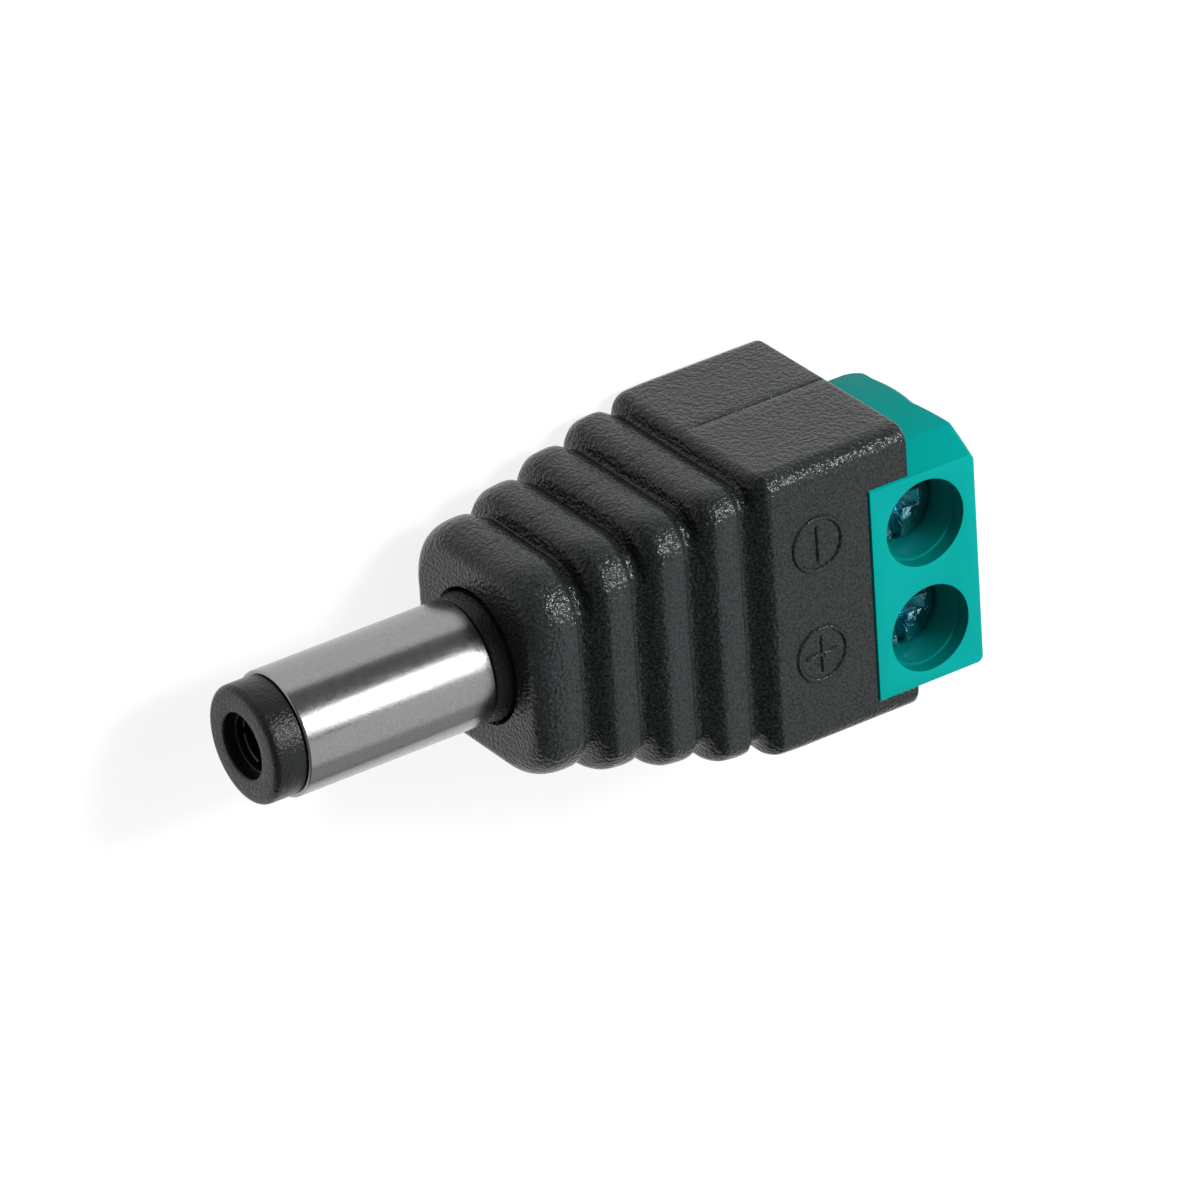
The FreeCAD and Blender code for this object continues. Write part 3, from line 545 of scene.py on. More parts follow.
def shell_stations():
    """Places along the shell, close together where it is ribbed or rounded."""
    places = [MOUTH_RUN * MOUTH_STATIONS_SHARE * (1 - cos(pi / 2 * k / MOUTH_STATIONS))
              for k in range(MOUTH_STATIONS)]
    x = places[-1] + STATION_STEP
    while x < RIBS_END:
        places.append(x)
        x += STATION_STEP
    rear = SHELL_LENGTH - REAR_ROUND
    places += [x + (rear - x) * k / PLAIN_STATIONS for k in range(PLAIN_STATIONS + 1)]
    places += [rear + REAR_ROUND * sin(pi / 2 * k / REAR_STATIONS) for k in range(1, REAR_STATIONS + 1)]
    return places


def half_outline(x, side):
    """Points (y, z) of one half's outline at x, from seam to seam."""
    height, screw_depth, plain_depth, corner = section(x)
    depth = screw_depth if side > 0 else plain_depth
    back = max(0, (x - SHELL_LENGTH + REAR_ROUND) / REAR_ROUND)
    dip = REAR_ROUND * (1 - sqrt(max(0, 1 - back * back)))
    height -= dip
    depth -= dip
    seam = SEAM_DEPTH if x > RIBS_END else RIB_SEAM_DEPTH
    quarter = [(height - seam * deep, SEAM_WIDTH * wide) for deep, wide in SEAM_FLANK]
    seam_edge = quarter[-1][1]
    flat = depth - corner
    quarter += [(height, seam_edge + (flat - seam_edge) * k / SIDE_STEPS) for k in range(1, SIDE_STEPS)]
    for k in range(CORNER_STEPS + 1):
        a = pi / 2 * k / CORNER_STEPS
        quarter.append((height - corner + corner * cos(a), flat + corner * sin(a)))
    rest = height - corner
    face = [(rest * (1 - k / FACE_STEPS), depth) for k in range(1, FACE_STEPS + 1)]
    top = quarter + face
    whole = top + [(-y, z) for y, z in reversed(top[:-1])]
    return [(y, z * side) for y, z in whole]


def shell_half(name, side):
    """One solid half, before its holes and seats are cut."""
    outlines = []
    for x in shell_stations():
        outlines.append([(x, y, z) for y, z in half_outline(x, side)])
    return stack(name, outlines)


def core_cutter():
    """The round seat of the barrel's core, with a small lip at the shell's mouth."""
    lip = MOUTH_LIP
    flared = MOUTH_RADIUS + lip * MOUTH_FLARE
    outline = [(-OVER, 0), (-OVER, flared), (-FLARE_LEAD, flared)]
    for k in range(LIP_STEPS + 1):
        a = pi / 2 * k / LIP_STEPS
        outline.append((lip * MOUTH_FLARE * sin(a), MOUTH_RADIUS + lip * (1 - sin(a))))
    outline += [(FLANGE_FRONT, MOUTH_RADIUS), (FLANGE_FRONT, FLANGE_SEAT), (FLANGE_REAR, FLANGE_SEAT),
                (FLANGE_REAR, CORE_SEAT), (CORE_REAR, CORE_SEAT), (CORE_REAR, 0)]
    return turned("core_cutter", outline, (0, 0, 0), segments=128)


def box_cutter(name, x, y, z):
    """A box between pairs of limits."""
    outline = [(x[0], y[0]), (x[1], y[0]), (x[1], y[1]), (x[0], y[1])]
    return prism(name, outline, z[0], z[1], upright)


def window_cutter():
    """The window for the screw face: open to the rear, with a lip at the outer face."""
    wide = (BLOCK_LOW - FIT_GAP, BLOCK_HIGH + FIT_GAP)
    face = (BLOCK_AXIS + FACE_EDGES[-1] - FIT_GAP, BLOCK_AXIS + FACE_EDGES[1] + FIT_GAP)
    front = TOWER_FRONT - FIT_GAP
    rear = SHELL_LENGTH + OVER
    foot = SCREW_FACE - CHEEK_LENGTH
    levels = [(foot - SHORT_OVER, wide, 0.0), (foot, wide, 0.0), (SCREW_DEPTH - WINDOW_LIP, face, 0.0)]
    for k in range(1, LIP_STEPS + 1):
        a = pi / 2 * k / LIP_STEPS
        levels.append((SCREW_DEPTH - WINDOW_LIP + WINDOW_LIP * sin(a), face, WINDOW_LIP * (1 - cos(a))))
    levels.append((SCREW_DEPTH + SHORT_OVER, face, WINDOW_LIP))
    outlines = []
    for z, edges, lip in levels:
        low, high = edges[0] - lip, edges[1] + lip
        outlines.append([(front - lip, low, z), (rear, low, z), (rear, high, z), (front - lip, high, z)])
    return stack("window_cutter", outlines)


def block_cutter(side):
    """The seat of the wide part of the terminal block, from the seam outwards."""
    half = (BLOCK_HIGH - BLOCK_LOW) / 2 + FIT_GAP
    depth = SCREW_FACE - CHEEK_LENGTH + FIT_GAP if side > 0 else BLOCK_BASE - FIT_GAP
    return box_cutter("block_cutter", (BLOCK_FRONT - FIT_GAP, SHELL_LENGTH + OVER),
                      (BLOCK_AXIS - half, BLOCK_AXIS + half), sorted((-SHORT_OVER * side, depth)))


def tag_room_cutter(side):
    """The room for the solder tags between the core and the terminal block."""
    return box_cutter("tag_room", (CORE_REAR - TAG_ROOM_OVERLAP, BLOCK_FRONT + TAG_ROOM_OVERLAP),
                      (-TAG_ROOM_HALF, TAG_ROOM_HALF), sorted((-SHORT_OVER * side, TAG_ROOM_DEPTH * side)))


def lead_room_cutter():
    """The room for the leads and the pins below the terminal block."""
    return box_cutter("lead_room", (LEAD_ROOM_FRONT, LEAD_ROOM_REAR), (-LEAD_ROOM_HALF, LEAD_ROOM_HALF),
                      (-LEAD_ROOM_DEPTH, SHORT_OVER))


def ring_mark(x, y):
    """A raised ring with sloping flanks, rooted in the shell's face."""
    half = MARK_LINE / 2
    foot = SCREW_DEPTH - MARK_ROOT
    top = SCREW_DEPTH + MARK_RISE
    flank_line = [(foot, half), (SCREW_DEPTH, half), (top - MARK_ROUND, half * MARK_SHOULDER),
                  (top, half * MARK_CREST)]
    outline = [(z, MARK_RADIUS + away) for z, away in flank_line]
    outline += [(z, MARK_RADIUS - away) for z, away in reversed(flank_line)]
    return turned("ring_mark", outline, (x, y, 0), axis="z", segments=128)


def bar_mark(x, y, across):
    """A raised bar with round ends; across puts it along X."""
    top = SCREW_DEPTH + MARK_RISE
    reach = BAR_LENGTH / 2 - MARK_LINE / 2
    outlines = []
    for z, share in ((SCREW_DEPTH - MARK_ROOT, 1.0), (SCREW_DEPTH, 1.0), (top - MARK_ROUND, MARK_SHOULDER),
                     (top, MARK_CREST)):
        r = MARK_LINE / 2 * share
        loop = []
        for k in range(BAR_STEPS):
            a = 2 * pi * (k + 0.5) / BAR_STEPS
            u = r * cos(a)
            v = r * sin(a) + (reach if sin(a) > 0 else -reach)
            loop.append((x + v, y + u, z) if across else (x + u, y + v, z))
        outlines.append(loop)
    return stack("bar_mark", outlines)


def make_marks():
    """The raised pole marks as one object: a minus in a ring and a plus in a ring."""
    pieces = []
    for pole, (x, y) in MARK_PLACES.items():
        pieces.append(ring_mark(x, y))
        pieces.append(bar_mark(x, y, False))
        if pole == "plus":
            pieces.append(bar_mark(x, y, True))
    marks = join(pieces, "pole_marks")
    shade(marks)
    return marks


def make_shells():
    """Both halves of the shell with their holes and seats."""
    screw_half = shell_half("screw_side_shell_fine", 1)
    carve(screw_half, [core_cutter(), window_cutter(), block_cutter(1), tag_room_cutter(1)])
    shade(screw_half)

    plain_half = shell_half("plain_side_shell_fine", -1)
    carve(plain_half, [core_cutter(), block_cutter(-1), tag_room_cutter(-1), lead_room_cutter()])
    shade(plain_half)
    return screw_half, plain_half


# The barrel.

def make_sleeve():
    """The outer contact: a tube round the tip's liner and a neck that sits in the core."""
    lining = SLEEVE_RADIUS - SLEEVE_WALL
    outline = rounded([
        (SLEEVE_FRONT, lining, SLEEVE_LIP_ROUND), (SLEEVE_FRONT, SLEEVE_RADIUS, SLEEVE_FRONT_ROUND),
        (SLEEVE_REAR, SLEEVE_RADIUS, SLEEVE_REAR_ROUND), (SLEEVE_REAR, NECK_RADIUS, 0),
        (NECK_REAR, NECK_RADIUS, 0), (NECK_REAR, NECK_BORE, 0), (LINING_REAR, NECK_BORE, 0),
        (LINING_REAR, lining, 0)])
    sleeve = turned("barrel_sleeve_fine", outline, (0, 0, 0), segments=160)
    shade(sleeve)
    return sleeve


def make_tip():
    """The black tip with its bore, the throat behind it and the liner inside the sleeve."""
    lining = SLEEVE_RADIUS - SLEEVE_WALL - FIT_GAP
    front = SLEEVE_FRONT - FIT_GAP
    rear = LINING_REAR - FIT_GAP
    bore_end = TIP_FRONT + TIP_BORE_DEPTH
    throat_end = TIP_FRONT + TIP_THROAT_DEPTH
    inside = CONTACT_RADIUS + FIT_GAP
    outline = rounded([
        (TIP_FRONT, TIP_BORE, TIP_BORE_ROUND), (TIP_FRONT, TIP_RADIUS, TIP_ROUND),
        (front, TIP_RADIUS, TIP_REAR_ROUND), (front, lining, 0), (rear, lining, 0), (rear, inside, 0),
        (throat_end, inside, 0), (throat_end, TIP_THROAT, TIP_THROAT_ROUND),
        (bore_end, TIP_THROAT, TIP_THROAT_ROUND), (bore_end, TIP_BORE, 0)])
    tip = turned("tip_insulator_fine", outline, (0, 0, 0), segments=128)
    shade(tip)
    return tip


def make_core():
    """The moulding round the neck, with the conical collar and the flange that the shells grip."""
    bore = CONTACT_STEM + FIT_GAP
    in_neck = NECK_BORE - FIT_GAP
    on_neck = NECK_RADIUS + FIT_GAP
    neck_end = NECK_REAR + FIT_GAP
    front = SLEEVE_REAR + FIT_GAP
    flange_front = FLANGE_FRONT + FIT_GAP
    flange_rear = FLANGE_REAR - FIT_GAP
    flange = FLANGE_SEAT - FIT_GAP
    body = CORE_SEAT - FIT_GAP
    rear = CORE_REAR - FIT_GAP
    outline = rounded([
        (LINING_REAR, bore, 0), (LINING_REAR, in_neck, 0), (neck_end, in_neck, 0), (neck_end, on_neck, 0),
        (front, on_neck, 0), (front, COLLAR_FRONT_RADIUS, COLLAR_FRONT_ROUND),
        (COLLAR_CONE_REAR, COLLAR_RADIUS, COLLAR_ROUND), (flange_front, COLLAR_RADIUS, 0),
        (flange_front, flange, FLANGE_ROUND), (flange_rear, flange, FLANGE_ROUND),
        (flange_rear, body, 0), (rear, body, CORE_REAR_ROUND), (rear, bore, 0)])
    core = turned("plug_core_fine", outline, (0, 0, 0), segments=128)
    shade(core)
    return core


def make_contact():
    """The slit inner contact and the stem that runs through the core."""
    front = span("centre_contact", 0)[0]
    rear = LINING_REAR - FIT_GAP
    outline = rounded([
        (front, CONTACT_BORE, CONTACT_MOUTH_ROUND), (front, CONTACT_RADIUS, CONTACT_MOUTH_ROUND),
        (rear, CONTACT_RADIUS, 0), (rear, CONTACT_STEM, 0),
        (CONTACT_REAR, CONTACT_STEM, CONTACT_STEM_ROUND), (CONTACT_REAR, 0, 0), (CONTACT_BORE_REAR, 0, 0),
        (CONTACT_BORE_REAR, CONTACT_BORE, 0)])
    contact = turned("centre_contact_fine", outline, (0, 0, 0), segments=96)
    along = (front - OVER, front + CONTACT_SLIT_LENGTH)
    narrow = (-CONTACT_SLIT_HALF, CONTACT_SLIT_HALF)
    wide = (-CONTACT_RADIUS - OVER, CONTACT_RADIUS + OVER)
    carve(contact, [box_cutter("slit", along, narrow, wide), box_cutter("slit", along, wide, narrow)])
    shade(contact)
    return contact


# The terminal block.

def crown_limits():
    """Heights of the wire side's two crowned stretches, from the screw face down."""
    split = SCREW_FACE - CROWN_SPLIT
    return (SCREW_FACE, split), (split, BLOCK_BASE + BASE_ROUND)


def crown(top, foot):
    """Points of one crowned stretch of the wire side, a shallow arc from its top down."""
    half = (top - foot) / 2
    radius = (half * half + CROWN_BULGE * CROWN_BULGE) / (2 * CROWN_BULGE)
    middle = (top + foot) / 2
    points = []
    for k in range(CROWN_STEPS + 1):
        z = top + (foot - top) * k / CROWN_STEPS
        points.append((WIRE_SIDE + CROWN_BULGE - radius + sqrt(radius ** 2 - (z - middle) ** 2), z))
    return points


def wire_side(z):
    """Where the wire side stands at height z, by parabolas within 0.001 mm of the crowned arcs."""
    for top, foot in crown_limits():
        if foot <= z <= top:
            half = (top - foot) / 2
            return WIRE_SIDE + CROWN_BULGE * (1 - ((z - top + half) / half) ** 2)
    return WIRE_SIDE


def flank(side, z):
    """Where the tower's side stands at height z: upright below, sloping in to the face above."""
    edge = BLOCK_AXIS + FACE_EDGES[side]
    outer = BLOCK_AXIS + (BLOCK_HIGH - BLOCK_LOW) / 2 * side
    part = min(max(0, (SCREW_FACE - z) / CHEEK_LENGTH), 1)
    return edge + (outer - edge) * part


def corner_cutter(side):
    """Takes the tower's rear corner off to a round that follows the cheek and the crowned side."""
    r = TOWER_ROUND
    low = BLOCK_BASE - CORNER_BELOW
    high = SCREW_FACE + CORNER_ABOVE
    angles = [pi / 2 * k / ROUND_STEPS for k in range(ROUND_STEPS + 1)]
    outlines = []
    for k in range(CORNER_LEVELS + 1):
        z = low + (high - low) * k / CORNER_LEVELS
        x = wire_side(z) + CORNER_OVER - r
        y = flank(side, z) + (CORNER_OVER - r) * side
        arc = [(x + r * sin(a), y + r * side * cos(a), z) for a in angles]
        far = y + 2 * OVER * side
        outlines.append(arc + [(x + OVER, y, z), (x + OVER, far, z), (x, far, z)])
    return stack("corner", outlines)


def cheek_cutter(side):
    """Takes the wedge off above one sloping cheek of the tower."""
    foot = SCREW_FACE - CHEEK_LENGTH
    outer = flank(side, foot)
    face = flank(side, SCREW_FACE)
    slope = (outer - face) / CHEEK_LENGTH
    top = SCREW_FACE + SHORT_OVER
    outline = [(face - slope * SHORT_OVER, top), (outer, foot), (outer + OVER * side, foot),
               (outer + OVER * side, top)]
    return prism("cheek", outline, TOWER_FRONT - SHORT_OVER, WIRE_SIDE + OVER, lengthwise)


def pole_cutters(y):
    """The screw well, the wire entry and the clamp's seat of one pole."""
    thread_top = span("minus_clamp_frame", 2)[1]
    floor = span("minus_clamp_frame", 2)[0] + CLAMP_WALL
    clamp_front, clamp_rear = span("minus_clamp_frame", 0)
    step = SCREW_FACE - WELL_STEP_DEPTH
    foot = thread_top - WELL_OVERLAP
    well = [(SCREW_FACE + OVER, 0), (SCREW_FACE + OVER, WELL_RADIUS), (step, WELL_RADIUS),
            (step, WELL_STEP_RADIUS), (foot, WELL_STEP_RADIUS), (foot, 0)]
    middle = floor + ENTRY_RISE
    half_seat = CLAMP_HALF_WIDTH + FIT_GAP
    return [
        turned("well", well, (SCREW_PLACE, y, 0), axis="z", segments=96),
        box_cutter("entry", (clamp_rear, WIRE_SIDE + OVER),
                   (y - ENTRY_HALF_WIDTH, y + ENTRY_HALF_WIDTH),
                   (middle - ENTRY_HALF_HEIGHT, middle + ENTRY_HALF_HEIGHT)),
        box_cutter("seat", (clamp_front - FIT_GAP, clamp_rear + FIT_GAP), (y - half_seat, y + half_seat),
                   (BLOCK_BASE - OVER, thread_top + FIT_GAP))]


def make_housing():
    """The teal block: its side outline, then cheeks, wells, entries, seats and rear corners."""
    foot = SCREW_FACE - CHEEK_LENGTH
    low = BLOCK_BASE + BASE_ROUND
    upper, lower = (crown(top, end) for top, end in crown_limits())
    outline = [(BLOCK_FRONT, BLOCK_BASE), (BLOCK_FRONT, foot), (TOWER_FRONT, foot),
               (TOWER_FRONT, SCREW_FACE)]
    outline += upper + lower[1:]
    for k in range(1, ROUND_STEPS + 1):
        a = pi / 2 * k / ROUND_STEPS
        outline.append((WIRE_SIDE - BASE_ROUND * (1 - cos(a)), low - BASE_ROUND * sin(a)))
    housing = prism("terminal_housing_fine", outline, BLOCK_LOW, BLOCK_HIGH, crosswise)
    cutters = [cheek_cutter(side) for side in (-1, 1)]
    for y in POLES.values():
        cutters += pole_cutters(y)
    cutters += [corner_cutter(side) for side in (-1, 1)]
    carve(housing, cutters)
    ease_edges(housing, EDGE_EASE, segments=3)
    shade(housing)
    return housing


# The clamp frames and the screws.

def make_clamp(pole):
    """The bent clamp frame with eased edges and the screw's hole."""
    y = POLES[pole]
    low, high = span(pole + "_clamp_frame", 2)
    front, rear = span(pole + "_clamp_frame", 0)
    half = CLAMP_HALF_WIDTH
    corners = ((y - half, low), (y + half, low), (y + half, high), (y - half, high))
    outer = rounded([(u, v, CLAMP_ROUND) for u, v in corners])
    clamp = prism(pole + "_clamp_frame_fine", outer, front, rear, lengthwise)
    inner = box_cutter("inner", (front - OVER, rear + OVER), (y - half + CLAMP_WALL, y + half - CLAMP_WALL),
                       (low + CLAMP_WALL, high - CLAMP_THREAD_WALL))
    bore = SHANK_RADIUS + THREAD_GAP
    hole = turned("hole", [(0, 0), (0, bore), (CLAMP_HOLE_TOP, bore), (CLAMP_HOLE_TOP, 0)],
                  (SCREW_PLACE, y, 0), axis="z", segments=64)
    carve(clamp, [inner, hole])
    ease_edges(clamp, METAL_EASE)
    shade(clamp)
    return clamp


def recess_cutter(y, half_x, half_y):
    """One arm of the cross recess, with sides and ends that slope in towards its floor."""
    outlines = []
    for level in (-1, 0, 1):
        share = 1 + CROSS_TAPER * level
        z = SCREW_TOP + CROSS_DEPTH * level
        u, v = half_x * share, half_y * share
        outlines.append([(SCREW_PLACE - u, y - v, z), (SCREW_PLACE + u, y - v, z),
                         (SCREW_PLACE + u, y + v, z), (SCREW_PLACE - u, y + v, z)])
    return stack("recess", outlines)


def make_screw(pole):
    """A combination screw: rounded head, full slot and cross recess, threaded shank."""
    y = POLES[pole]
    head_foot = SCREW_TOP - HEAD_THICKNESS
    root = SHANK_RADIUS - THREAD_DEPTH
    outline = rounded([
        (SCREW_TOP, 0, 0), (SCREW_TOP, HEAD_RADIUS, HEAD_ROUND),
        (head_foot, HEAD_RADIUS, HEAD_FOOT_ROUND), (head_foot, SHANK_RADIUS, 0)])
    z = head_foot - THREAD_START
    while z - THREAD_PITCH > SCREW_TIP + THREAD_END:
        outline.append((z, SHANK_RADIUS))
        outline += [(z - THREAD_PITCH * share, root) for share in THREAD_ROOT]
        z -= THREAD_PITCH
    outline += [(SCREW_TIP + FOOT_CHAMFER, SHANK_RADIUS), (SCREW_TIP, SHANK_RADIUS - FOOT_CHAMFER),
                (SCREW_TIP, 0)]
    screw = turned(pole + "_screw_fine", outline, (SCREW_PLACE, y, 0), axis="z", segments=72)
    slot = box_cutter("slot", (SCREW_PLACE - SLOT_HALF_WIDTH, SCREW_PLACE + SLOT_HALF_WIDTH),
                      (y - HEAD_RADIUS - OVER, y + HEAD_RADIUS + OVER),
                      (SCREW_TOP - SLOT_DEPTH, SCREW_TOP + OVER))
    carve(screw, [slot])
    for arm in ((CROSS_REACH, CROSS_HALF_WIDTH), (CROSS_HALF_WIDTH, CROSS_REACH)):
        carve(screw, [recess_cutter(y, *arm)])
    ease_edges(screw, METAL_EASE, angle=50)
    shade(screw)
    return screw


# Materials.

class Nodes:
    """A material's node tree, with short ways to add, set and link nodes."""

    # a mix node's sockets for numbers and vectors stand before those for colours
    MIX_COLOURS = (6, 7)
    MIX_RESULT = 2

    def __init__(self, name):
        self.material = bpy.data.materials.new(name)
        self.material.use_nodes = True
        self.tree = self.material.node_tree
        self.shader = self.tree.nodes["Principled BSDF"]
        self.place = self.add("ShaderNodeTexCoord").outputs["Object"]

    def add(self, kind, **inputs):
        """A new node with its inputs given; an underscore stands for a space in an input's name."""
        node = self.tree.nodes.new(kind)
        for name, value in inputs.items():
            self.give(node.inputs[name.replace("_", " ")], value)
        return node

    def give(self, socket, value):
        """Sets a socket to a number or a colour, or links it to another socket."""
        if isinstance(value, bpy.types.NodeSocket):
            self.tree.links.new(value, socket)
        else:
            socket.default_value = value

    def surface(self, name, value):
        """Gives the shader one of its inputs."""
        self.give(self.shader.inputs[name], value)

    def noise(self, scale, detail=3.0):
        """Noise whose scale is in features per millimetre."""
        node = self.add("ShaderNodeTexNoise", Scale=scale / MM, Detail=detail, Vector=self.place)
        return node.outputs["Fac"]

    def axes(self):
        """The place's X, Y and Z as sockets."""
        node = self.add("ShaderNodeSeparateXYZ", Vector=self.place)
        return node.outputs["X"], node.outputs["Y"], node.outputs["Z"]

    def ramp(self, source, low, high, first, last):
        """Maps a value between two limits onto two numbers."""
        node = self.add("ShaderNodeMapRange", Value=source, From_Min=low, From_Max=high, To_Min=first,
                        To_Max=last)
        return node.outputs["Result"]

    def patches(self, scale, reach, first, last):
        """Soft patches of noise between two numbers; a smaller reach gives them firmer edges."""
        return self.ramp(self.noise(scale), 0.5 - reach, 0.5 + reach, first, last)

    def mix_colour(self, factor, first, second):
        """Mixes two colours, each given as three numbers or as a socket."""
        node = self.add("ShaderNodeMix")
        node.data_type = "RGBA"
        self.give(node.inputs[0], factor)
        for index, colour in zip(self.MIX_COLOURS, (first, second)):
            self.give(node.inputs[index], (*colour, 1) if isinstance(colour, tuple) else colour)
        return node.outputs[self.MIX_RESULT]

    def math(self, operation, *values):
        """A math node over sockets and plain numbers."""
        node = self.add("ShaderNodeMath")
        node.operation = operation
        for index, value in enumerate(values):
            self.give(node.inputs[index], value)
        return node.outputs[0]

    def bump(self, source, height, normal=None):
        """Relief of the given height in millimetres, laid over an earlier relief's normal."""
        node = self.add("ShaderNodeBump", Strength=1.0, Distance=height * MM, Height=source)
        if normal:
            self.give(node.inputs["Normal"], normal)
        self.surface("Normal", node.outputs["Normal"])
        return node.outputs["Normal"]


def shell_material():
    """Black plastic with a leather grain, and painted highlight and shade on the ribs."""
    m = Nodes("grained_black_plastic")
    # painted highlight and shade: the ribs' crests are painted a little lighter than the grooves
    x = m.math("MINIMUM", m.axes()[0], RIBS_END * MM)
    x = m.math("MAXIMUM", x, (FIRST_CREST - CREST_FLAT) * MM)
    turns = m.math("MULTIPLY_ADD", x, 2 * pi / (RIB_PITCH * MM), -2 * pi * FIRST_CREST / RIB_PITCH)
    painted_crest_light = m.ramp(m.math("COSINE", turns), low=-1, high=1, first=0, last=0.6)
    specks = m.patches(scale=9.0, reach=0.1, first=-0.1, last=0.55)
    black = m.mix_colour(m.math("ADD", painted_crest_light, specks), first=(0.004, 0.0052, 0.0057),
                         second=(0.036, 0.0415, 0.0425))
    m.surface("Base Color", black)
    m.surface("Roughness", m.patches(scale=1.1, reach=0.15, first=0.13, last=0.18))
    m.surface("Specular IOR Level", 0.25)
    grain = m.bump(m.noise(scale=5.8, detail=1.0), height=0.075)
    m.bump(m.noise(scale=16.0), height=0.01, normal=grain)
    return m.material


def insulator_material():
    """Smoother black plastic of the tip and the core."""
    m = Nodes("smooth_black_plastic")
    fine = m.noise(scale=7.0)
    black = m.mix_colour(fine, first=(0.009, 0.0105, 0.011), second=(0.016, 0.018, 0.0185))
    m.surface("Base Color", black)
    m.surface("Roughness", m.patches(scale=2.0, reach=0.2, first=0.24, last=0.32))
    m.surface("Specular IOR Level", 0.26)
    m.bump(fine, height=0.05)
    return m.material


def well_shade_mask(m):
    """A socket that is 1 within the circles of the screw wells, where shade is painted, and 0 elsewhere."""
    x, y = m.axes()[:2]
    across = m.math("SUBTRACT", x, SCREW_PLACE * MM)
    in_wells = []
    for pole_y in POLES.values():
        along = m.math("SUBTRACT", y, pole_y * MM)
        squares = m.math("ADD", m.math("MULTIPLY", across, across), m.math("MULTIPLY", along, along))
        in_wells.append(m.math("LESS_THAN", squares, ((WELL_RADIUS + WELL_PAINT_OVER) * MM) ** 2))
    return m.math("MAXIMUM", *in_wells)


def teal_material():
    """Teal plastic, with painted shade: the wells' walls are a darker teal than the open face."""
    m = Nodes("teal_plastic")
    open_face = m.mix_colour(m.noise(scale=3.0), first=(0.0, 0.362, 0.33), second=(0.0, 0.392, 0.358))
    # painted shade: within the wells the teal is painted darker, where little light reaches
    m.surface("Base Color", m.mix_colour(well_shade_mask(m), open_face, (0.0, 0.2, 0.185)))
    m.surface("Roughness", m.patches(scale=1.5, reach=0.2, first=0.36, last=0.46))
    m.surface("Specular IOR Level", 0.05)
    m.bump(m.noise(scale=6.0), height=0.0008)
    return m.material


def metal_material(name):
    """One of the metals; its colour and roughness vary between two limits, and it has a fine relief."""
    look = METALS[name]
    smooth, rough = look["roughness"]
    m = Nodes(name)
    fine = m.noise(look["scale"], detail=4.0)
    m.surface("Base Color", m.mix_colour(fine, look["dark"], look["light"]))
    m.surface("Metallic", 1.0)
    m.surface("Roughness", m.patches(look["scale"] / 3, reach=0.2, first=smooth, last=rough))
    m.bump(fine, look["relief"])
    return m.material


def floor_material():
    """White paper."""
    m = Nodes("white_floor")
    white = m.mix_colour(m.noise(scale=0.02), first=(0.18, 0.18, 0.18), second=(0.2, 0.2, 0.2))
    m.surface("Base Color", white)
    m.surface("Roughness", 0.9)
    m.surface("Specular IOR Level", 0.05)
    # the camera and mirrors see it lit up, and it still takes a shadow
    path = m.add("ShaderNodeLightPath").outputs
    mirrored = m.math("MAXIMUM", path["Is Glossy Ray"], path["Is Transmission Ray"])
    seen = m.math("MAXIMUM", path["Is Camera Ray"], mirrored)
    m.surface("Emission Color", (1, 1, 1, 1))
    m.surface("Emission Strength", m.ramp(seen, low=0, high=1, first=0, last=FLOOR_LIFT))
    return m.material


def wear(obj, material):
    """Gives an object its only material."""
    obj.data.materials.clear()
    obj.data.materials.append(material)


# Stage.

def make_camera():
    """The camera, turned and placed as the one that took the photograph."""
    turn, tilt, roll = CAMERA_TURN, CAMERA_TILT, CAMERA_ROLL
    right = Vector((cos(turn), sin(turn), 0))
    back = Vector((sin(turn) * cos(tilt), -cos(turn) * cos(tilt), sin(tilt)))
    up = back.cross(right)
    across = right * cos(roll) + up * sin(roll)
    above = up * cos(roll) - right * sin(roll)
    place = back * CAMERA_DISTANCE + across * CAMERA_OFFSET[0] + above * CAMERA_OFFSET[1]
    data = bpy.data.cameras.new("camera")
    data.sensor_width = SENSOR
    data.lens = CAMERA_SCALE * CAMERA_DISTANCE / IMAGE_PIXELS * SENSOR
    data.clip_start = 0.01
    data.clip_end = 10
    camera = bpy.data.objects.new("camera", data)
    bpy.context.collection.objects.link(camera)
    axes = Matrix((lay_down(across), lay_down(above), lay_down(back))).transposed()
    camera.matrix_world = Matrix.Translation(lay_down(place) * MM) @ axes.to_4x4()
    bpy.context.scene.camera = camera


def make_lamp(name, direction, size, level):
    """A soft box that faces the plug, its first size along the plug's axis."""
    width, height = (side * MM for side in size)
    data = bpy.data.lights.new(name, "AREA")
    data.shape = "RECTANGLE"
    data.size = width
    data.size_y = height
    data.energy = level * pi * width * height
    lamp = bpy.data.objects.new(name, data)
    bpy.context.collection.objects.link(lamp)
    away = Vector(direction).normalized()
    across = (Vector((1, 0, 0)) - away * away.x).normalized()
    axes = Matrix((across, away.cross(across), away)).transposed()
    place = (Vector(LAMP_AIM) + away * LAMP_DISTANCE) * MM
    lamp.matrix_world = Matrix.Translation(place) @ axes.to_4x4()


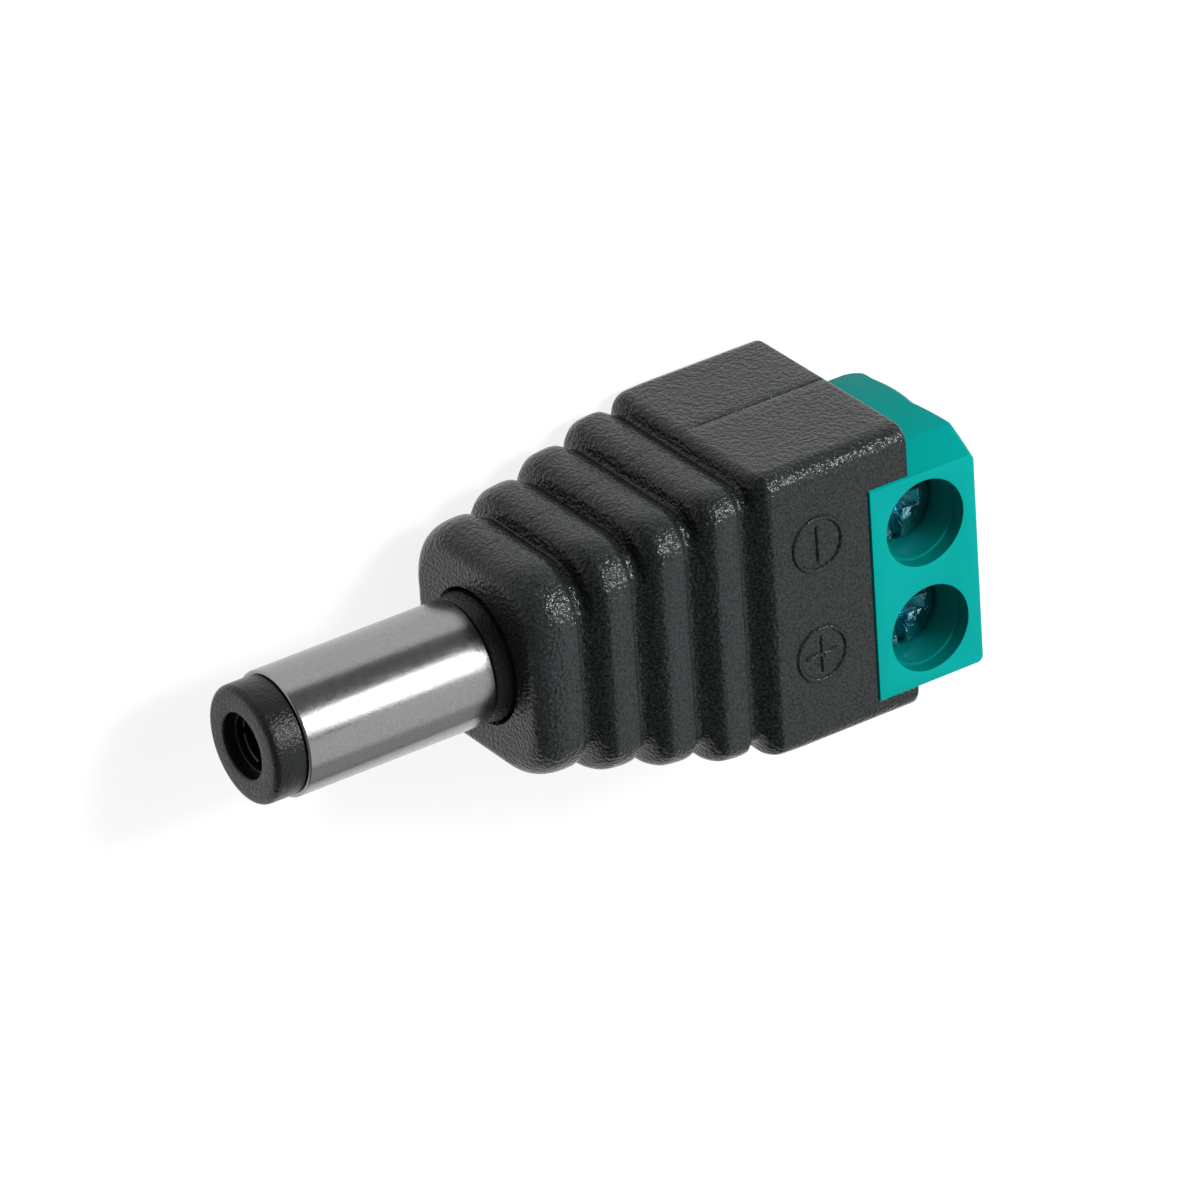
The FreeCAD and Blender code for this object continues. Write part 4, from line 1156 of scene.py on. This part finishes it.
def make_floor():
    """A plain floor under the plug, as wide as any view needs."""
    r = FLOOR_REACH
    z = -PLAIN_DEPTH
    floor = mesh_object("floor", [(-r, -r, z), (r, -r, z), (r, r, z), (-r, r, z)], [(0, 1, 2, 3)])
    for polygon in floor.data.polygons:
        if polygon.normal.z < 0:
            polygon.flip()
    wear(floor, floor_material())
    floor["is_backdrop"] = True


def make_world():
    world = bpy.data.worlds.new("studio")
    bpy.context.scene.world = world
    world.use_nodes = True
    background = world.node_tree.nodes["Background"]
    background.inputs["Color"].default_value = (1, 1, 1, 1)
    background.inputs["Strength"].default_value = WORLD_LEVEL


def put(obj, body, node, material):
    """A fine piece takes the place of a frame node and rides on its body."""
    wear(obj, material)
    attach(obj, body)
    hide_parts(node)


def wear_node(node, material):
    """A frame node keeps its mesh and gets a finer material."""
    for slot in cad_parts[node].material_slots:
        slot.material = material


def dress_shells():
    black = shell_material()
    screw_half, plain_half = make_shells()
    put(screw_half, "root", "screw_side_shell", black)
    marks = make_marks()
    wear(marks, black)
    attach(marks, "root")
    put(plain_half, "root", "plain_side_shell", black)


def dress_barrel():
    insulator = insulator_material()
    put(make_sleeve(), "root", "barrel_sleeve", metal_material("satin_nickel"))
    put(make_tip(), "root", "tip_insulator", insulator)
    put(make_core(), "root", "plug_core", insulator)
    # the inner contact wears metal painted near black, as painted shade in the bore
    put(make_contact(), "root", "centre_contact", metal_material("shade_darkened_contact_metal"))


def dress_terminals():
    tin = metal_material("tinned_metal")
    # screws and pressure plates: blue zinc with a painted reflection of the teal walls
    zinc = metal_material("blue_zinc_with_painted_reflection")
    copper = metal_material("tinned_copper")
    solder = metal_material("solder")
    put(make_housing(), "root", "terminal_housing", teal_material())
    for pole in POLES:
        put(make_clamp(pole), "root", pole + "_clamp_frame", tin)
        put(make_screw(pole), pole + "_turn", pole + "_screw", zinc)
        wear_node(pole + "_pressure_plate", zinc)
        wear_node(pole + "_solder_pin", tin)
        wear_node(pole + "_lead", copper)
        wear_node(pole + "_solder", solder)
    wear_node("sleeve_tag", tin)
    wear_node("centre_tag", tin)


def main():
    make_camera()
    dress_shells()
    dress_barrel()
    dress_terminals()
    make_floor()
    make_world()
    for name, lamp in LAMPS.items():
        make_lamp(name, **lamp)


main()

view = bpy.context.scene.view_settings
view.view_transform = "Standard"
low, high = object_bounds()
